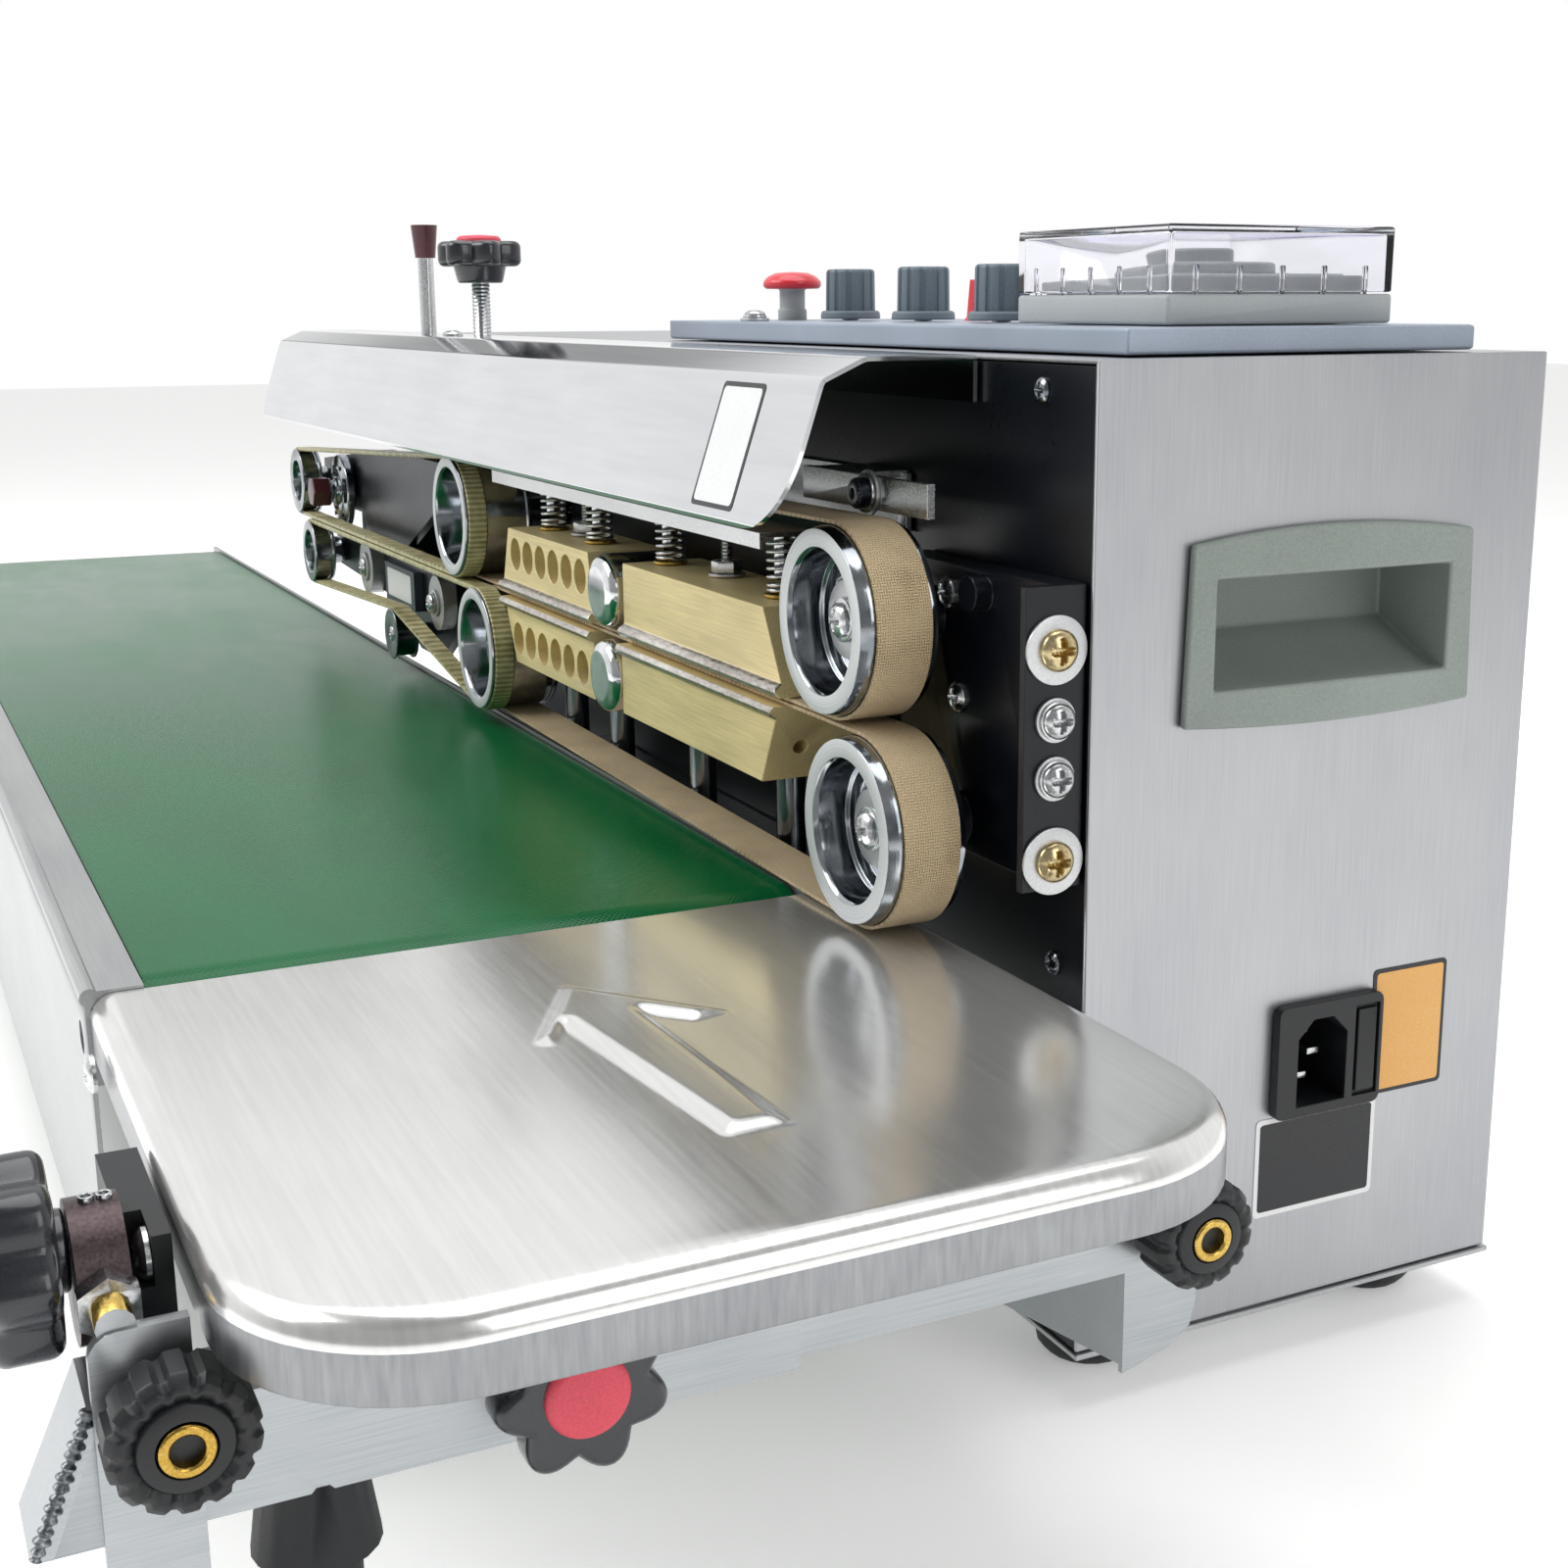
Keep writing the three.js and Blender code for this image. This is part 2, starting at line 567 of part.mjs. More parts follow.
function gear(x, z, phase) {
  const pitch = Math.hypot(DRIVE_X[1] - DRIVE_X[0], wheelZ(DRIVE_R, 0) - wheelZ(DRIVE_R, 1)) / 2;
  const module = (2 * pitch) / GEAR_TEETH;
  const points = [];
  for (let i = 0; i < GEAR_TEETH; i += 1) {
    const a = phase + (i / GEAR_TEETH) * 2 * Math.PI;
    const step = (2 * Math.PI) / GEAR_TEETH;
    const rows = [[-0.24, -1.1], [-0.11, 0.75], [0.11, 0.75], [0.24, -1.1]];
    for (const [turn, height] of rows) {
      const r = pitch + height * module;
      points.push([x + r * Math.cos(a + turn * step), z + r * Math.sin(a + turn * step)]);
    }
  }
  return prismY(outline(points), [12, 20]);
}

function driveWheel(name, i) {
  const f = DRIVE_FACE;
  const rim = DRIVE_R - BELT_T - GAP;
  const drum = DRIVE_R - BAND_T - GAP;
  const b0 = f + 0.9;
  const b1 = b0 + BELT_W + 0.6;
  const profile = [
    [0, -34], [16.5, -34], [18.8, f], [23.8, f], [23.8, b0], [rim, b0 + 0.1], [rim, b1], [drum, b1 + 0.1],
    [drum, BAND_BACK], [drum + 0.6, BAND_BACK + 0.4], [drum + 0.6, BAND_BACK + 2], [SHAFT_R, BAND_BACK + 4],
    [SHAFT_R, 66], [0, 66],
  ];
  const x = DRIVE_X[i];
  const z = wheelZ(DRIVE_R, i);
  const base = Math.atan2(wheelZ(DRIVE_R, 1) - wheelZ(DRIVE_R, 0), DRIVE_X[1] - DRIVE_X[0]);
  const half = Math.PI / GEAR_TEETH;
  const phase = i === 0 ? base : base + Math.PI + half;
  return part(name, join([turnedY(profile, x, z, 28), gear(x, z, phase)]), CHROME, 0.12, 1);
}

function pressWheel(name, upper) {
  const z = upper ? NIP + PRESS_R + 0.4 + GAP : NIP - PRESS_R - 0.4 - GAP;
  const r = PRESS_R - BAND_T - GAP;
  const profile = [
    [0, -44.5], [10.4, -44.5], [r - 0.6, -43], [r, -42], [r, -22], [4, -20], [4, -3], [0, -3],
  ];
  return part(name, turnedY(profile, PRESS_X, z, 24), CHROME, 0.08, 1);
}

function guidePulley(name, i) {
  const f = DRIVE_FACE;
  const rim = PULLEY_R[i] - BELT_T - GAP;
  const z = i === 0 ? NIP + GAP + PULLEY_R[0] : NIP - GAP - PULLEY_R[1];
  const b1 = f + 0.9 + BELT_W + 0.6;
  const profile = [
    [0, -41], [9.4, -41], [10.2, f], [rim + 1.4, f], [rim + 1.4, f + 0.8], [rim, f + 0.9], [rim, b1],
    [rim + 1.2, b1 + 0.1], [rim + 1.2, b1 + 1.4], [7, b1 + 2], [7, -32.4], [0, -32.4],
  ];
  return part(name, turnedY(profile, PULLEY_X[i], z, 22), 0xd0d2d4, 0.2, 1);
}

function tensionPulley() {
  const f = DRIVE_FACE;
  const profile = [
    [0, f + 0.6], [4, f + 0.6], [JOCKEY_R + 1, f + 0.2], [JOCKEY_R + 1, f + 0.8], [JOCKEY_R - GAP, f + 0.9],
    [JOCKEY_R - GAP, f + 9], [JOCKEY_R + 1, f + 9.1], [JOCKEY_R + 1, f + 10], [3, f + 10], [3, -32.4], [0, -32.4],
  ];
  return part('tension_pulley', turnedY(profile, JOCKEY_X, JOCKEY_Z, 20), CHROME, 0.15, 1);
}

function sealingBand(name, i) {
  const rim = (r) => r - BAND_T;
  const idler = { x: IDLER_X[i], z: wheelZ(IDLER_R, i), r: rim(IDLER_R), side: 1 };
  const drive = { x: DRIVE_X[i], z: wheelZ(DRIVE_R, i), r: rim(DRIVE_R), side: 1 };
  const across = [BAND_FRONT + 0.2, BAND_BACK - 0.2];
  return part(name, loop([drive, idler], BAND_T, across), 0xc8a878, 0.7, 0);
}

function guideBelt(name, i) {
  const pz = i === 0 ? NIP + GAP + PULLEY_R[0] : NIP - GAP - PULLEY_R[1];
  const pulley = { x: PULLEY_X[i], z: pz, r: PULLEY_R[i] - BELT_T, side: 1 };
  const drive = { x: DRIVE_X[i], z: wheelZ(DRIVE_R, i), r: DRIVE_R - BELT_T, side: 1 };
  const jockey = { x: JOCKEY_X, z: JOCKEY_Z, r: JOCKEY_R + BELT_T, side: -1 };
  const wheels = i === 0 ? [pulley, drive] : [pulley, jockey, drive];
  const y0 = DRIVE_FACE + 1.2;
  return part(name, loop(wheels, BELT_T, [y0, y0 + BELT_W]), i === 0 ? 0xcfc89a : 0xc8c294, 0.5, 0);
}

// Carrier plate behind the guide pulleys, with the lift rod and the coder's drive.
function pulleyCarrier() {
  const back = -30;
  const left = -CASE_L;
  const plate = outline([[left - 136, NIP + 28.2], [left - 5, NIP + 40.2], [left + 110, NIP + 40.2],
    [left + 110, NIP + 30.2], [left + 30, NIP - 1.8], [left + 108, NIP - 9.8], [left + 108, NIP - 31.8],
    [left + 78, NIP - 47.8], [left + 44, NIP - 47.8], [left, NIP - 29.8], [left - 116, NIP - 24.8],
    [left - 116, NIP - 8.8], [left - 58, NIP - 8.8], [left - 58, NIP + 6.2], [left - 136, NIP + 6.2]]);
  const bosses = [
    bar('y', 6, [-32, back + 2], PULLEY_X[0], NIP + GAP + PULLEY_R[0], 14),
    bar('y', 6, [-32, back + 2], PULLEY_X[1], NIP - GAP - PULLEY_R[1], 14),
    bar('y', 4, [-32, back + 2], JOCKEY_X, JOCKEY_Z, 12),
  ];
  const feetY = [back + 3, -0.4];
  const stayX = [left + 15, left + 40];
  const stays = [box(stayX, feetY, [NIP + 20.2, NIP + 36.2]), box(stayX, feetY, [NIP - 39.8, NIP - 23.8])];
  const drive = box([left - 32, left - 2], [back + 3, 10], [NIP - 26.8, NIP + 34.2]);
  const rod = bar('z', 3.4, [NIP + 34.2, TOP + 34], ROD_AT[0], ROD_AT[1], 14);
  const rodFoot = box([ROD_AT[0] - 7, ROD_AT[0] + 7], [back + 1, -15], [NIP + 32.2, NIP + 42.2]);
  const cap = bar('z', 4.4, [TOP + 33, TOP + 47], ROD_AT[0], ROD_AT[1], 16, 5.8);
  const sheet = prismY(plate, [back, back + 4]);
  const discs = [
    bar('y', 13, [-36, back + 1], left - 30, NIP - 17.8, 22),
    bar('y', 12, [-36, back + 1], left + 96, NIP - 19.8, 22),
    box([left, left + 52], [-34, back + 1], [NIP - 29.8, NIP - 11.8]),
  ];
  const coderHole = bar('y', 4.4, [-60, 0], CODER_AT[0], CODER_AT[1], 16);
  const body = cut(join([sheet, ...bosses, ...stays, drive, rod, rodFoot, cap, ...discs]), [coderHole]);
  return part('pulley_carrier', body, 0x2c3138, 0.35, 0.7);
}

// Coding wheel: type disc, hub and hexagonal clamp nut on one spindle.
function coderWheel() {
  const [x, z] = CODER_AT;
  const disc = turnedY([[0, -31.2], [17, -31.2], [18.4, -32], [18.4, -35.4], [13.4, -36.6], [6, -36.6],
    [6, -41], [0, -41]], x, z, 28);
  const nut = bar('y', 8.4, [-50, -40.5], x, z, 6);
  const spindle = bar('y', 4, [-32, -22], x, z, 16);
  return part('coder_wheel', join([disc, nut, spindle]), 0xc4c6c8, 0.2, 0.9);
}

function driveMotor() {
  const z = wheelZ(DRIVE_R, 1);
  const x = DRIVE_X[1];
  const gearbox = box([x - 34, x + 34], [26, 62], [z - 34, z + 30]);
  const bore = bar('y', SHAFT_R + GAP, [0, 80], x, z, 32);
  const clear = bar('y', SHAFT_R + 2, [0, 80], DRIVE_X[0], wheelZ(DRIVE_R, 0), 16);
  const motor = bar('x', 27, [x + 33, x + 150], 62, z - 4, 24);
  const cap = bar('x', 22, [x + 149, x + 158], 62, z - 4, 24);
  const bracket = box([x - 34, x + 34], [40, 48], [FOOT_H + PLATE + GAP, z - 33]);
  const body = cut(join([gearbox, motor, cap, bracket]), [bore, clear]);
  return part('drive_motor', body, 0x3c4650, 0.5, 0.5);
}

// ---- conveyor -----------------------------------------------------------
const ROLLER_Z = BELT_TOP - CONV_BELT_T - GAP - ROLLER_R;
const ROLLER_X = [CONV_LEFT + 18, TRAY_LEFT - ROLLER_R - GAP - CONV_BELT_T - 1];

function conveyorFrame() {
  const right = TRAY_LEFT + 24;
  const front = TRAY_FRONT - 1;
  const inY = BELT_Y[0] - 0.8;
  const backY = BELT_Y[1] + 0.8;
  const apron = box([CONV_LEFT, TRAY_LEFT - 0.4], [front, front + SHEET], [APRON_LOW, BELT_TOP + 1]);
  const cheek = box([CONV_LEFT, right], [inY - SHEET, inY], [ARM_Z[1] + 2, TRAY_TOP - 3]);
  const cap = box([CONV_LEFT, TRAY_LEFT - 0.4], [front, inY], [BELT_TOP, BELT_TOP + 1.6]);
  const roll = bar('x', 2.4, [CONV_LEFT, TRAY_LEFT - 0.4], front + 1.2, BELT_TOP, 12);
  const rear = box([CONV_LEFT, right], [backY, backY + 1.6], [ARM_Z[1] + 2, TRAY_TOP - 3]);
  const rearLip = box([CONV_LEFT, TRAY_LEFT - 0.4], [backY, backY + 1.6], [TRAY_TOP - 4, BELT_TOP + 1.4]);
  const bedX = [ROLLER_X[0] + 26, ROLLER_X[1] - 22];
  const bed = box(bedX, [inY - 0.5, backY + 0.5], [BELT_TOP - CONV_BELT_T - GAP - 1.5, BELT_TOP - CONV_BELT_T - GAP]);
  const ties = [bedX[0] + 60, (bedX[0] + bedX[1]) / 2, bedX[1] - 60].map((x) =>
    box([x - 10, x + 10], [inY - 0.5, backY + 0.5], [ROLLER_Z - 3, ROLLER_Z + 3]));
  const fill = [CONV_LEFT + 6, -560, TRAY_LEFT - 12].map((x) =>
    box([x - 4, x + 4], [front + 0.5, inY - 0.5], [ARM_Z[1] + 6, BELT_TOP + 0.5]));
  const bores = ROLLER_X.map((x) => bar('y', 4 + GAP, [-240, 0], x, ROLLER_Z, 20));
  const body = cut(join([apron, cheek, cap, roll, rear, rearLip, bed, ...ties, ...fill]), bores);
  return part('conveyor_frame', body, STEEL, 0.35, 0.9);
}

function conveyorBelt() {
  const wheels = ROLLER_X.map((x) => ({ x, z: ROLLER_Z, r: ROLLER_R + GAP, side: 1 }));
  return part('conveyor_belt', loop(wheels, CONV_BELT_T, BELT_Y), 0x00502f, 0.25, 0);
}

function roller(name, i) {
  const [y0, y1] = BELT_Y;
  const profile = [[0, y0 - 3], [4, y0 - 3], [4, y0 + 0.6], [ROLLER_R, y0 + 0.6], [ROLLER_R, y1 - 0.6],
    [4, y1 - 0.6], [4, y1 + 3], [0, y1 + 3]];
  return part(name, turnedY(profile, ROLLER_X[i], ROLLER_Z, 24), CHROME, 0.2, 1);
}

function trayShape(grow) {
  const r = TRAY_CORNER + grow;
  const q = Math.PI / 2;
  return outline([
    [TRAY_LEFT, TRAY_FRONT - grow],
    ...arc(TRAY_RIGHT - TRAY_CORNER, TRAY_FRONT + TRAY_CORNER, r, -q, 0, 9),
    ...arc(TRAY_RIGHT - TRAY_CORNER, TRAY_BACK - TRAY_CORNER, r, 0, q, 9),
    [TRAY_LEFT, TRAY_BACK + grow],
  ]);
}

// One layer of the tray: its upper edge is rounded over by a row of steps.
function trayLayer(grow, top, low) {
  const soft = 6;
  const shape = new THREE.ExtrudeGeometry(trayShape(grow - soft), {
    depth: top - low - soft, bevelEnabled: true, bevelThickness: soft, bevelSize: soft, bevelSegments: 4,
  });
  shape.translate(0, 0, low);
  const open = box([TRAY_LEFT, TRAY_RIGHT + 20], [-300, 50], [low, top + 20]);
  return solid(shape).intersect(open);
}

function infeedTray() {
  const low = TRAY_TOP - TRAY_SKIRT;
  const outer = trayLayer(0, TRAY_TOP, low);
  const inner = trayLayer(-SHEET, TRAY_TOP - SHEET, low - 10);
  const skirt = box([TRAY_LEFT - 20, TRAY_LEFT + 30], [TRAY_FRONT + 3, TRAY_BACK - 3], [low - 10, TRAY_TOP - SHEET]);
  const arrow = outline([
    [-40, -123.5], [-6, -96], [-8, -106], [-16, -116], [61, -113], [61, -122], [-16, -130], [-8, -138], [-6, -141],
  ]);
  const raised = prismZ(arrow, [TRAY_TOP - 0.6, TRAY_TOP + 1.4]);
  return part('infeed_tray', cut(outer, [inner, skirt]).add(raised), 0xd8d8d4, 0.15, 1);
}

// ---- supports -----------------------------------------------------------
const ARM_FRONT = -246;
const LEG_Y = -207;
const UPRIGHT_Y = [-246, -228.4];
const CLAMP_Y = -160;
const SIDE_X = ARM_X[1] + 0.4;
const MID_X = (ARM_X[0] + ARM_X[1]) / 2;

function armTube(front, slant) {
  const [x0, x1] = ARM_X;
  const [z0, z1] = ARM_Z;
  const w = ARM_WALL;
  const tube = prismX(outline([[-108, z0], [-108, z1], [front, z1], [front - slant, z0]]), [x0, x1]);
  const inner = box([x0 + w, x1 - w], [front + w, -100], [z0 + w, z1 - w]);
  const sleeve = bar('z', 12.6, [z0 - 16, z0 + 1], MID_X, LEG_Y, 20, 10.2);
  const bore = bar('z', 8.5 + GAP, [z0 - 20, z1 - w], MID_X, LEG_Y, 20);
  return cut(join([tube, sleeve]), [inner, bore]);
}

// Upright plate at the arm's front end; its outer top corner is rounded.
function postPlate() {
  const [y0, y1] = UPRIGHT_Y;
  const r = 5;
  const top = TRAY_TOP - 14;
  const shape = outline([[y0, ARM_Z[0] - 49], [y1, ARM_Z[0] - 49], [y1, top],
    ...arc(y0 + r, top - r, r, Math.PI / 2, Math.PI, 4)]);
  return prismX(shape, [ARM_X[1] - 1, ARM_X[1] + 2]);
}

// Slanted cap welded over the open end of the arm, a little taller than the arm.
function endCap(front, slant) {
  const high = ARM_Z[1] + 3.4;
  const shape = outline([[front + 2.4, high], [front - 0.8, high], [front - slant - 1.6, ARM_Z[0] + 0.8],
    [front - slant + 2.4, ARM_Z[0]]]);
  return prismX(shape, [ARM_X[0] - 0.4, ARM_X[1] + 0.2]);
}

function armOuterRight() {
  const [x, z] = RAIL_AT;
  const collarR = 13.8;
  const collarY = [-245.5, -236];
  const mid = (collarY[0] + collarY[1]) / 2;
  const collar = bar('y', collarR, collarY, x, z, 28);
  const rod = bar('x', 3.6, [x + collarR - 5, ARM_X[1] + 1], mid, z, 12);
  const nut = bar('x', 6.2, [x + collarR, x + collarR + 5], mid, z, 6);
  const boss = box([2, x - 2], [collarY[1] - 0.5, TRAY_FRONT - 1.4], [z - 7.5, z + 9]);
  const bearing = box([x - 4, x + 11], [collarY[1] - 0.5, TRAY_FRONT - 1.4], [z - 7.5, z - 1]);
  const flange = box([2, x + 11], [TRAY_FRONT - 5, TRAY_FRONT - 1.4], [z - 7.5, z + 9]);
  const tie = box([ARM_X[0] + 4, ARM_X[1] - 4], [mid - 3, mid + 3], [ARM_Z[1] - 1, z - 6]);
  const body = join([armTube(ARM_FRONT, 11), endCap(ARM_FRONT, 11), postPlate(),
    rod, nut, collar, boss, bearing, flange, tie]);
  return part('arm_outer_right', body, STEEL, 0.35, 0.9);
}

function mirrored(body) {
  return body.mirror([1, 0, 0]).translate([-CASE_L, 0, 0]);
}

function armOuterLeft() {
  return part('arm_outer_left', mirrored(armTube(TRAY_FRONT + 4, 0)), STEEL, 0.35, 0.9);
}

// Inner bar, side plate, upright and the flange that bolts to the casing.
function armInner() {
  const [x0, x1] = ARM_X;
  const slack = ARM_WALL + 0.4;
  const plateY = [-25.5, -23.9];
  const rail = box([x0 + slack, x1 - slack], [-196, plateY[1]], [ARM_Z[0] + slack, ARM_Z[1] - slack]);
  const low = ARM_Z[0] - 33.2;
  const side = outline([[x1 - 2, low + 12], [x1 - 2, ARM_Z[1] + 5], [-60, ARM_Z[1] + 2], [-60, low], [-12, low]]);
  const cheek = prismY(side, plateY);
  const upright = outline([[-25.5, ARM_Z[1] + 5], [-25.5, low + 10], [-12, low + 14], [-7, low + 18],
    [-5.5, low + 24], [-5.5, ARM_Z[1] + 5]]);
  const web = prismX(upright, [x1 - 3.6, x1 - 2]);
  const turn = box([-60, -58.4], [-25.5, -2.2], [low, ARM_Z[1] + 2]);
  const flange = box([-60, -20], [-2.4, -0.9], [low, ARM_Z[1] + 2]);
  return join([rail, cheek, web, turn, flange]);
}

function leg(name, flip) {
  const profile = [[0, 0], [18, 0], [18.6, 3], [16, 8], [9.5, 22], [8.5, 26], [8.5, ARM_Z[0] + 4],
    [0, ARM_Z[0] + 4]];
  const body = turnedZ(profile, MID_X, LEG_Y, 20);
  return part(name, flip ? mirrored(body) : body, RUBBER, 0.6, 0);
}

function armKnob() {
  const y = CLAMP_Y;
  const z = ARM_Z[0] + 16;
  const x = SIDE_X;
  const star = prismX(outline(lobed(7, 17.8, 13.4, 5)), [x + 6, x + 17]).rotate([-72, 0, 0]).translate([0, y, z]);
  const cap = bar('x', 8.8, [x + 16, x + 19], y, z, 20, 8.2);
  const hub = bar('x', 9, [x, x + 7], y, z, 16, 11);
  return part('arm_knob', join([star, cap, hub]), PLASTIC, 0.35, 0);
}

function clampKnob(name, x, y, z, r) {
  const grip = prismX(outline(lobed(12, r, r - 1.2, 3)), [x + 3, x + 16]).translate([0, y, z]);
  const neck = bar('x', r * 0.62, [x, x + 4], y, z, 20);
  const insert = bar('x', 5, [x + 15, x + 17], y, z, 16);
  const thread = bar('x', 2.6, [x + 8, x + 20], y, z, 12);
  return part(name, cut(join([grip, neck, insert]), [thread]), PLASTIC, 0.4, 0);
}

// The rail knob's screw enters the collar above the collar's middle.
function railKnob() {
  const x = RAIL_AT[0];
  const z = RAIL_AT[1] + 5.1;
  const grip = prismY(outline(lobed(7, 19.5, 16.5, 5)), [-261, -248]).translate([x, 0, z]);
  const neck = bar('y', 8, [-249, -245.8], x, z, 18);
  return part('rail_knob', join([grip, neck]), PLASTIC, 0.3, 0);
}

// ---- assembly -----------------------------------------------------------
function fixedPieces() {
  return [
    casingShell(), basePanel(), frontPanel(), ...feet(),
    sideHandle('side_handle_right', false), sideHandle('side_handle_left', true),
    powerInlet(), hood(), controlPanel(), thermostatBase(), thermostatCover(),
    endBracket(), springShelf(), postRail(), pulleyCarrier(), driveMotor(),
    block('heater_block_lower', false, [-218, -106, -94, -218], 0),
    block('cooling_block_lower', false, [-333, -245, -245, -346], 6),
    sealingBand('sealing_band_upper', 0), sealingBand('sealing_band_lower', 1),
    guideBelt('guide_belt_upper', 0), guideBelt('guide_belt_lower', 1),
    springPair('cooling_springs', [SPRING_X[0], SPRING_X[1]]),
    springPair('heater_springs', [SPRING_X[2], SPRING_X[3]]),
  ];
}

function movingPieces() {
  const knobs = ['knob_left', 'knob_middle', 'knob_right'];
  return [
    block('heater_block_upper', true, [-215, -104, -90, -215], 0),
    block('cooling_block_upper', true, [-338, -249, -243, -347], 6),
    driveWheel('drive_wheel_upper', 0), driveWheel('drive_wheel_lower', 1),
    idlerWheel('idler_wheel_upper', 0), idlerWheel('idler_wheel_lower', 1),
    pressWheel('press_wheel_upper', true), pressWheel('press_wheel_lower', false),
    guidePulley('guide_pulley_upper', 0), guidePulley('guide_pulley_lower', 1),
    tensionPulley(), coderWheel(), pressureKnob(), stopButton(), toggleLever(),
    ...knobs.map((name, i) => panelKnob(name, KNOB_X[i])),
  ];
}

function conveyorPieces() {
  return [
    conveyorFrame(), conveyorBelt(), roller('drive_roller', 0), roller('tail_roller', 1), infeedTray(),
    armOuterRight(), armOuterLeft(), armKnob(), railKnob(),
    part('arm_inner_right', armInner(), 0xa8b0b8, 0.35, 0.9),
    part('arm_inner_left', mirrored(armInner()), 0xa8b0b8, 0.35, 0.9),
    leg('leg_right', false), leg('leg_left', true),
    clampKnob('front_clamp_knob', ARM_X[1] + 2.4, -232.7, ARM_Z[1] + 1.6, 13.5),
    clampKnob('rear_clamp_knob', ARM_X[1] - 1.6, -14, ARM_Z[1] - 9.2, 13),
  ];
}

// The finished machine stands on z = 0, centred on its own footprint.
function assemble() {
  const machine = new THREE.Group();
  machine.name = 'band_sealer';
  machine.add(...fixedPieces(), ...movingPieces(), ...conveyorPieces());
  const bounds = new THREE.Box3().setFromObject(machine);
  const middle = bounds.getCenter(new THREE.Vector3());
  for (const piece of machine.children) {
    piece.geometry.translate(-middle.x, -middle.y, -bounds.min.z);
  }
  return machine;
}

export default assemble();
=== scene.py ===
"""Continuous band sealer: looks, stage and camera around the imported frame."""

import json
import math

import bmesh
import bpy
import numpy as np
from mathutils import Matrix, Vector

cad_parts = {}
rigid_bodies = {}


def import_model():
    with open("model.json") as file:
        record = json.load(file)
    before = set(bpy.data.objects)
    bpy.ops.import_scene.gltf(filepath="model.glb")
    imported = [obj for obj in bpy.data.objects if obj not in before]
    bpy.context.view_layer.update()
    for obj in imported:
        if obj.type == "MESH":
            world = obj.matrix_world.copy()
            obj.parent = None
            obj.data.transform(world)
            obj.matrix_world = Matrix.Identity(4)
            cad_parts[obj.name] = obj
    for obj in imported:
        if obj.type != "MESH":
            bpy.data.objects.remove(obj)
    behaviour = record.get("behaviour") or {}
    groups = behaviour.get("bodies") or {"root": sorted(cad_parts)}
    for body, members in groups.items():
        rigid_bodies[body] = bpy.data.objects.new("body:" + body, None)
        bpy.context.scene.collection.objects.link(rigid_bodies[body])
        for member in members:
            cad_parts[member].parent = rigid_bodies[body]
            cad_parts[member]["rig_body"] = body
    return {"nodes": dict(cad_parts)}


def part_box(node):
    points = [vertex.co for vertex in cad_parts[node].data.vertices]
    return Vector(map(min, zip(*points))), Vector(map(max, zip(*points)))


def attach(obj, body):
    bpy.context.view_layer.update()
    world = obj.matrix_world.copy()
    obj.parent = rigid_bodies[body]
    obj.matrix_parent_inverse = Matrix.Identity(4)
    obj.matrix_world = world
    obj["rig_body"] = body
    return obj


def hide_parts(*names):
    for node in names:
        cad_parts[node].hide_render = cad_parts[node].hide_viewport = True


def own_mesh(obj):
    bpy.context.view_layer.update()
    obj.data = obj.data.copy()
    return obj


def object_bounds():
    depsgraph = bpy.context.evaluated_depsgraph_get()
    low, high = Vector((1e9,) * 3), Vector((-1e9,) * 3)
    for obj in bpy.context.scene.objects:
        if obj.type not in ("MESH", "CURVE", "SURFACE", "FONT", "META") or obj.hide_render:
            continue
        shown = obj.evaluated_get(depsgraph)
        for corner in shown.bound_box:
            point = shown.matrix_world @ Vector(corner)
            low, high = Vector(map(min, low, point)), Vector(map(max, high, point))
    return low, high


bl_info = {
    "name": "Continuous Band Sealer",
    "version": (1, 0, 0),
    "blender": (4, 5, 0),
    "location": "View3D > Sidebar > Band Sealer",
    "description": "Dresses the packed band sealer with turned, folded and moulded surfaces "
                   "and their finishes",
    "category": "Object",
}

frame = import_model()
CAD_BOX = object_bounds()
CASE_LOW, CASE_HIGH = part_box("casing_shell")
CORNER = np.array([CASE_HIGH.x, CASE_LOW.y, 0.0])  # the casing's right front corner, at the bench
MM = 0.001
TOP = CASE_HIGH.z / MM  # casing top, mm above the bench
CASE_L = (CASE_HIGH.x - CASE_LOW.x) / MM
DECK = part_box("control_panel")[1].z / MM  # top of the control panel
TAU = 2 * math.pi
NIP = TOP - 94.2  # sealing line


# ---- shapes: arrays of points in mm, x from the casing's right side, y from its front, z from the bench
def ring(count, turn=0.0):
    """Angles of a closed circle, the first repeated at the end."""
    return np.linspace(0, TAU, count + 1) + turn


def soften(points, radius, steps=4):
    """Each inner corner of an open line is cut back by radius along both sides and joined by a quadratic
    curve."""
    p = np.asarray(points, float)
    radius = np.broadcast_to(radius, len(p))
    out = [p[:1]]
    t = np.linspace(0, 1, steps + 1)[:, None]
    for i in range(1, len(p) - 1):
        back, ahead = p[i - 1] - p[i], p[i + 1] - p[i]
        lb, la = np.linalg.norm(back), np.linalg.norm(ahead)
        r = min(radius[i], 0.45 * lb, 0.45 * la)
        a, b = p[i] + back / lb * r, p[i] + ahead / la * r
        out.append((1 - t) ** 2 * a + 2 * t * (1 - t) * p[i] + t**2 * b)
    out.append(p[-1:])
    return np.vstack(out)


def soft_loop(points, radius, steps=4):
    """A closed outline with every corner softened, first point repeated at the end."""
    p = np.asarray(points, float)
    around = np.vstack([(p[-1] + p[0]) / 2, p, (p[-1] + p[0]) / 2])
    return soften(around, radius, steps)


def to_axis(across, along, axis):
    """Puts two across coordinates and one along coordinate on machine axes."""
    u, v = across[..., 0], across[..., 1]
    if axis == "x":
        return np.stack([along, u, v], -1)
    if axis == "y":
        return np.stack([u, along, v], -1)
    return np.stack([u, v, along], -1)


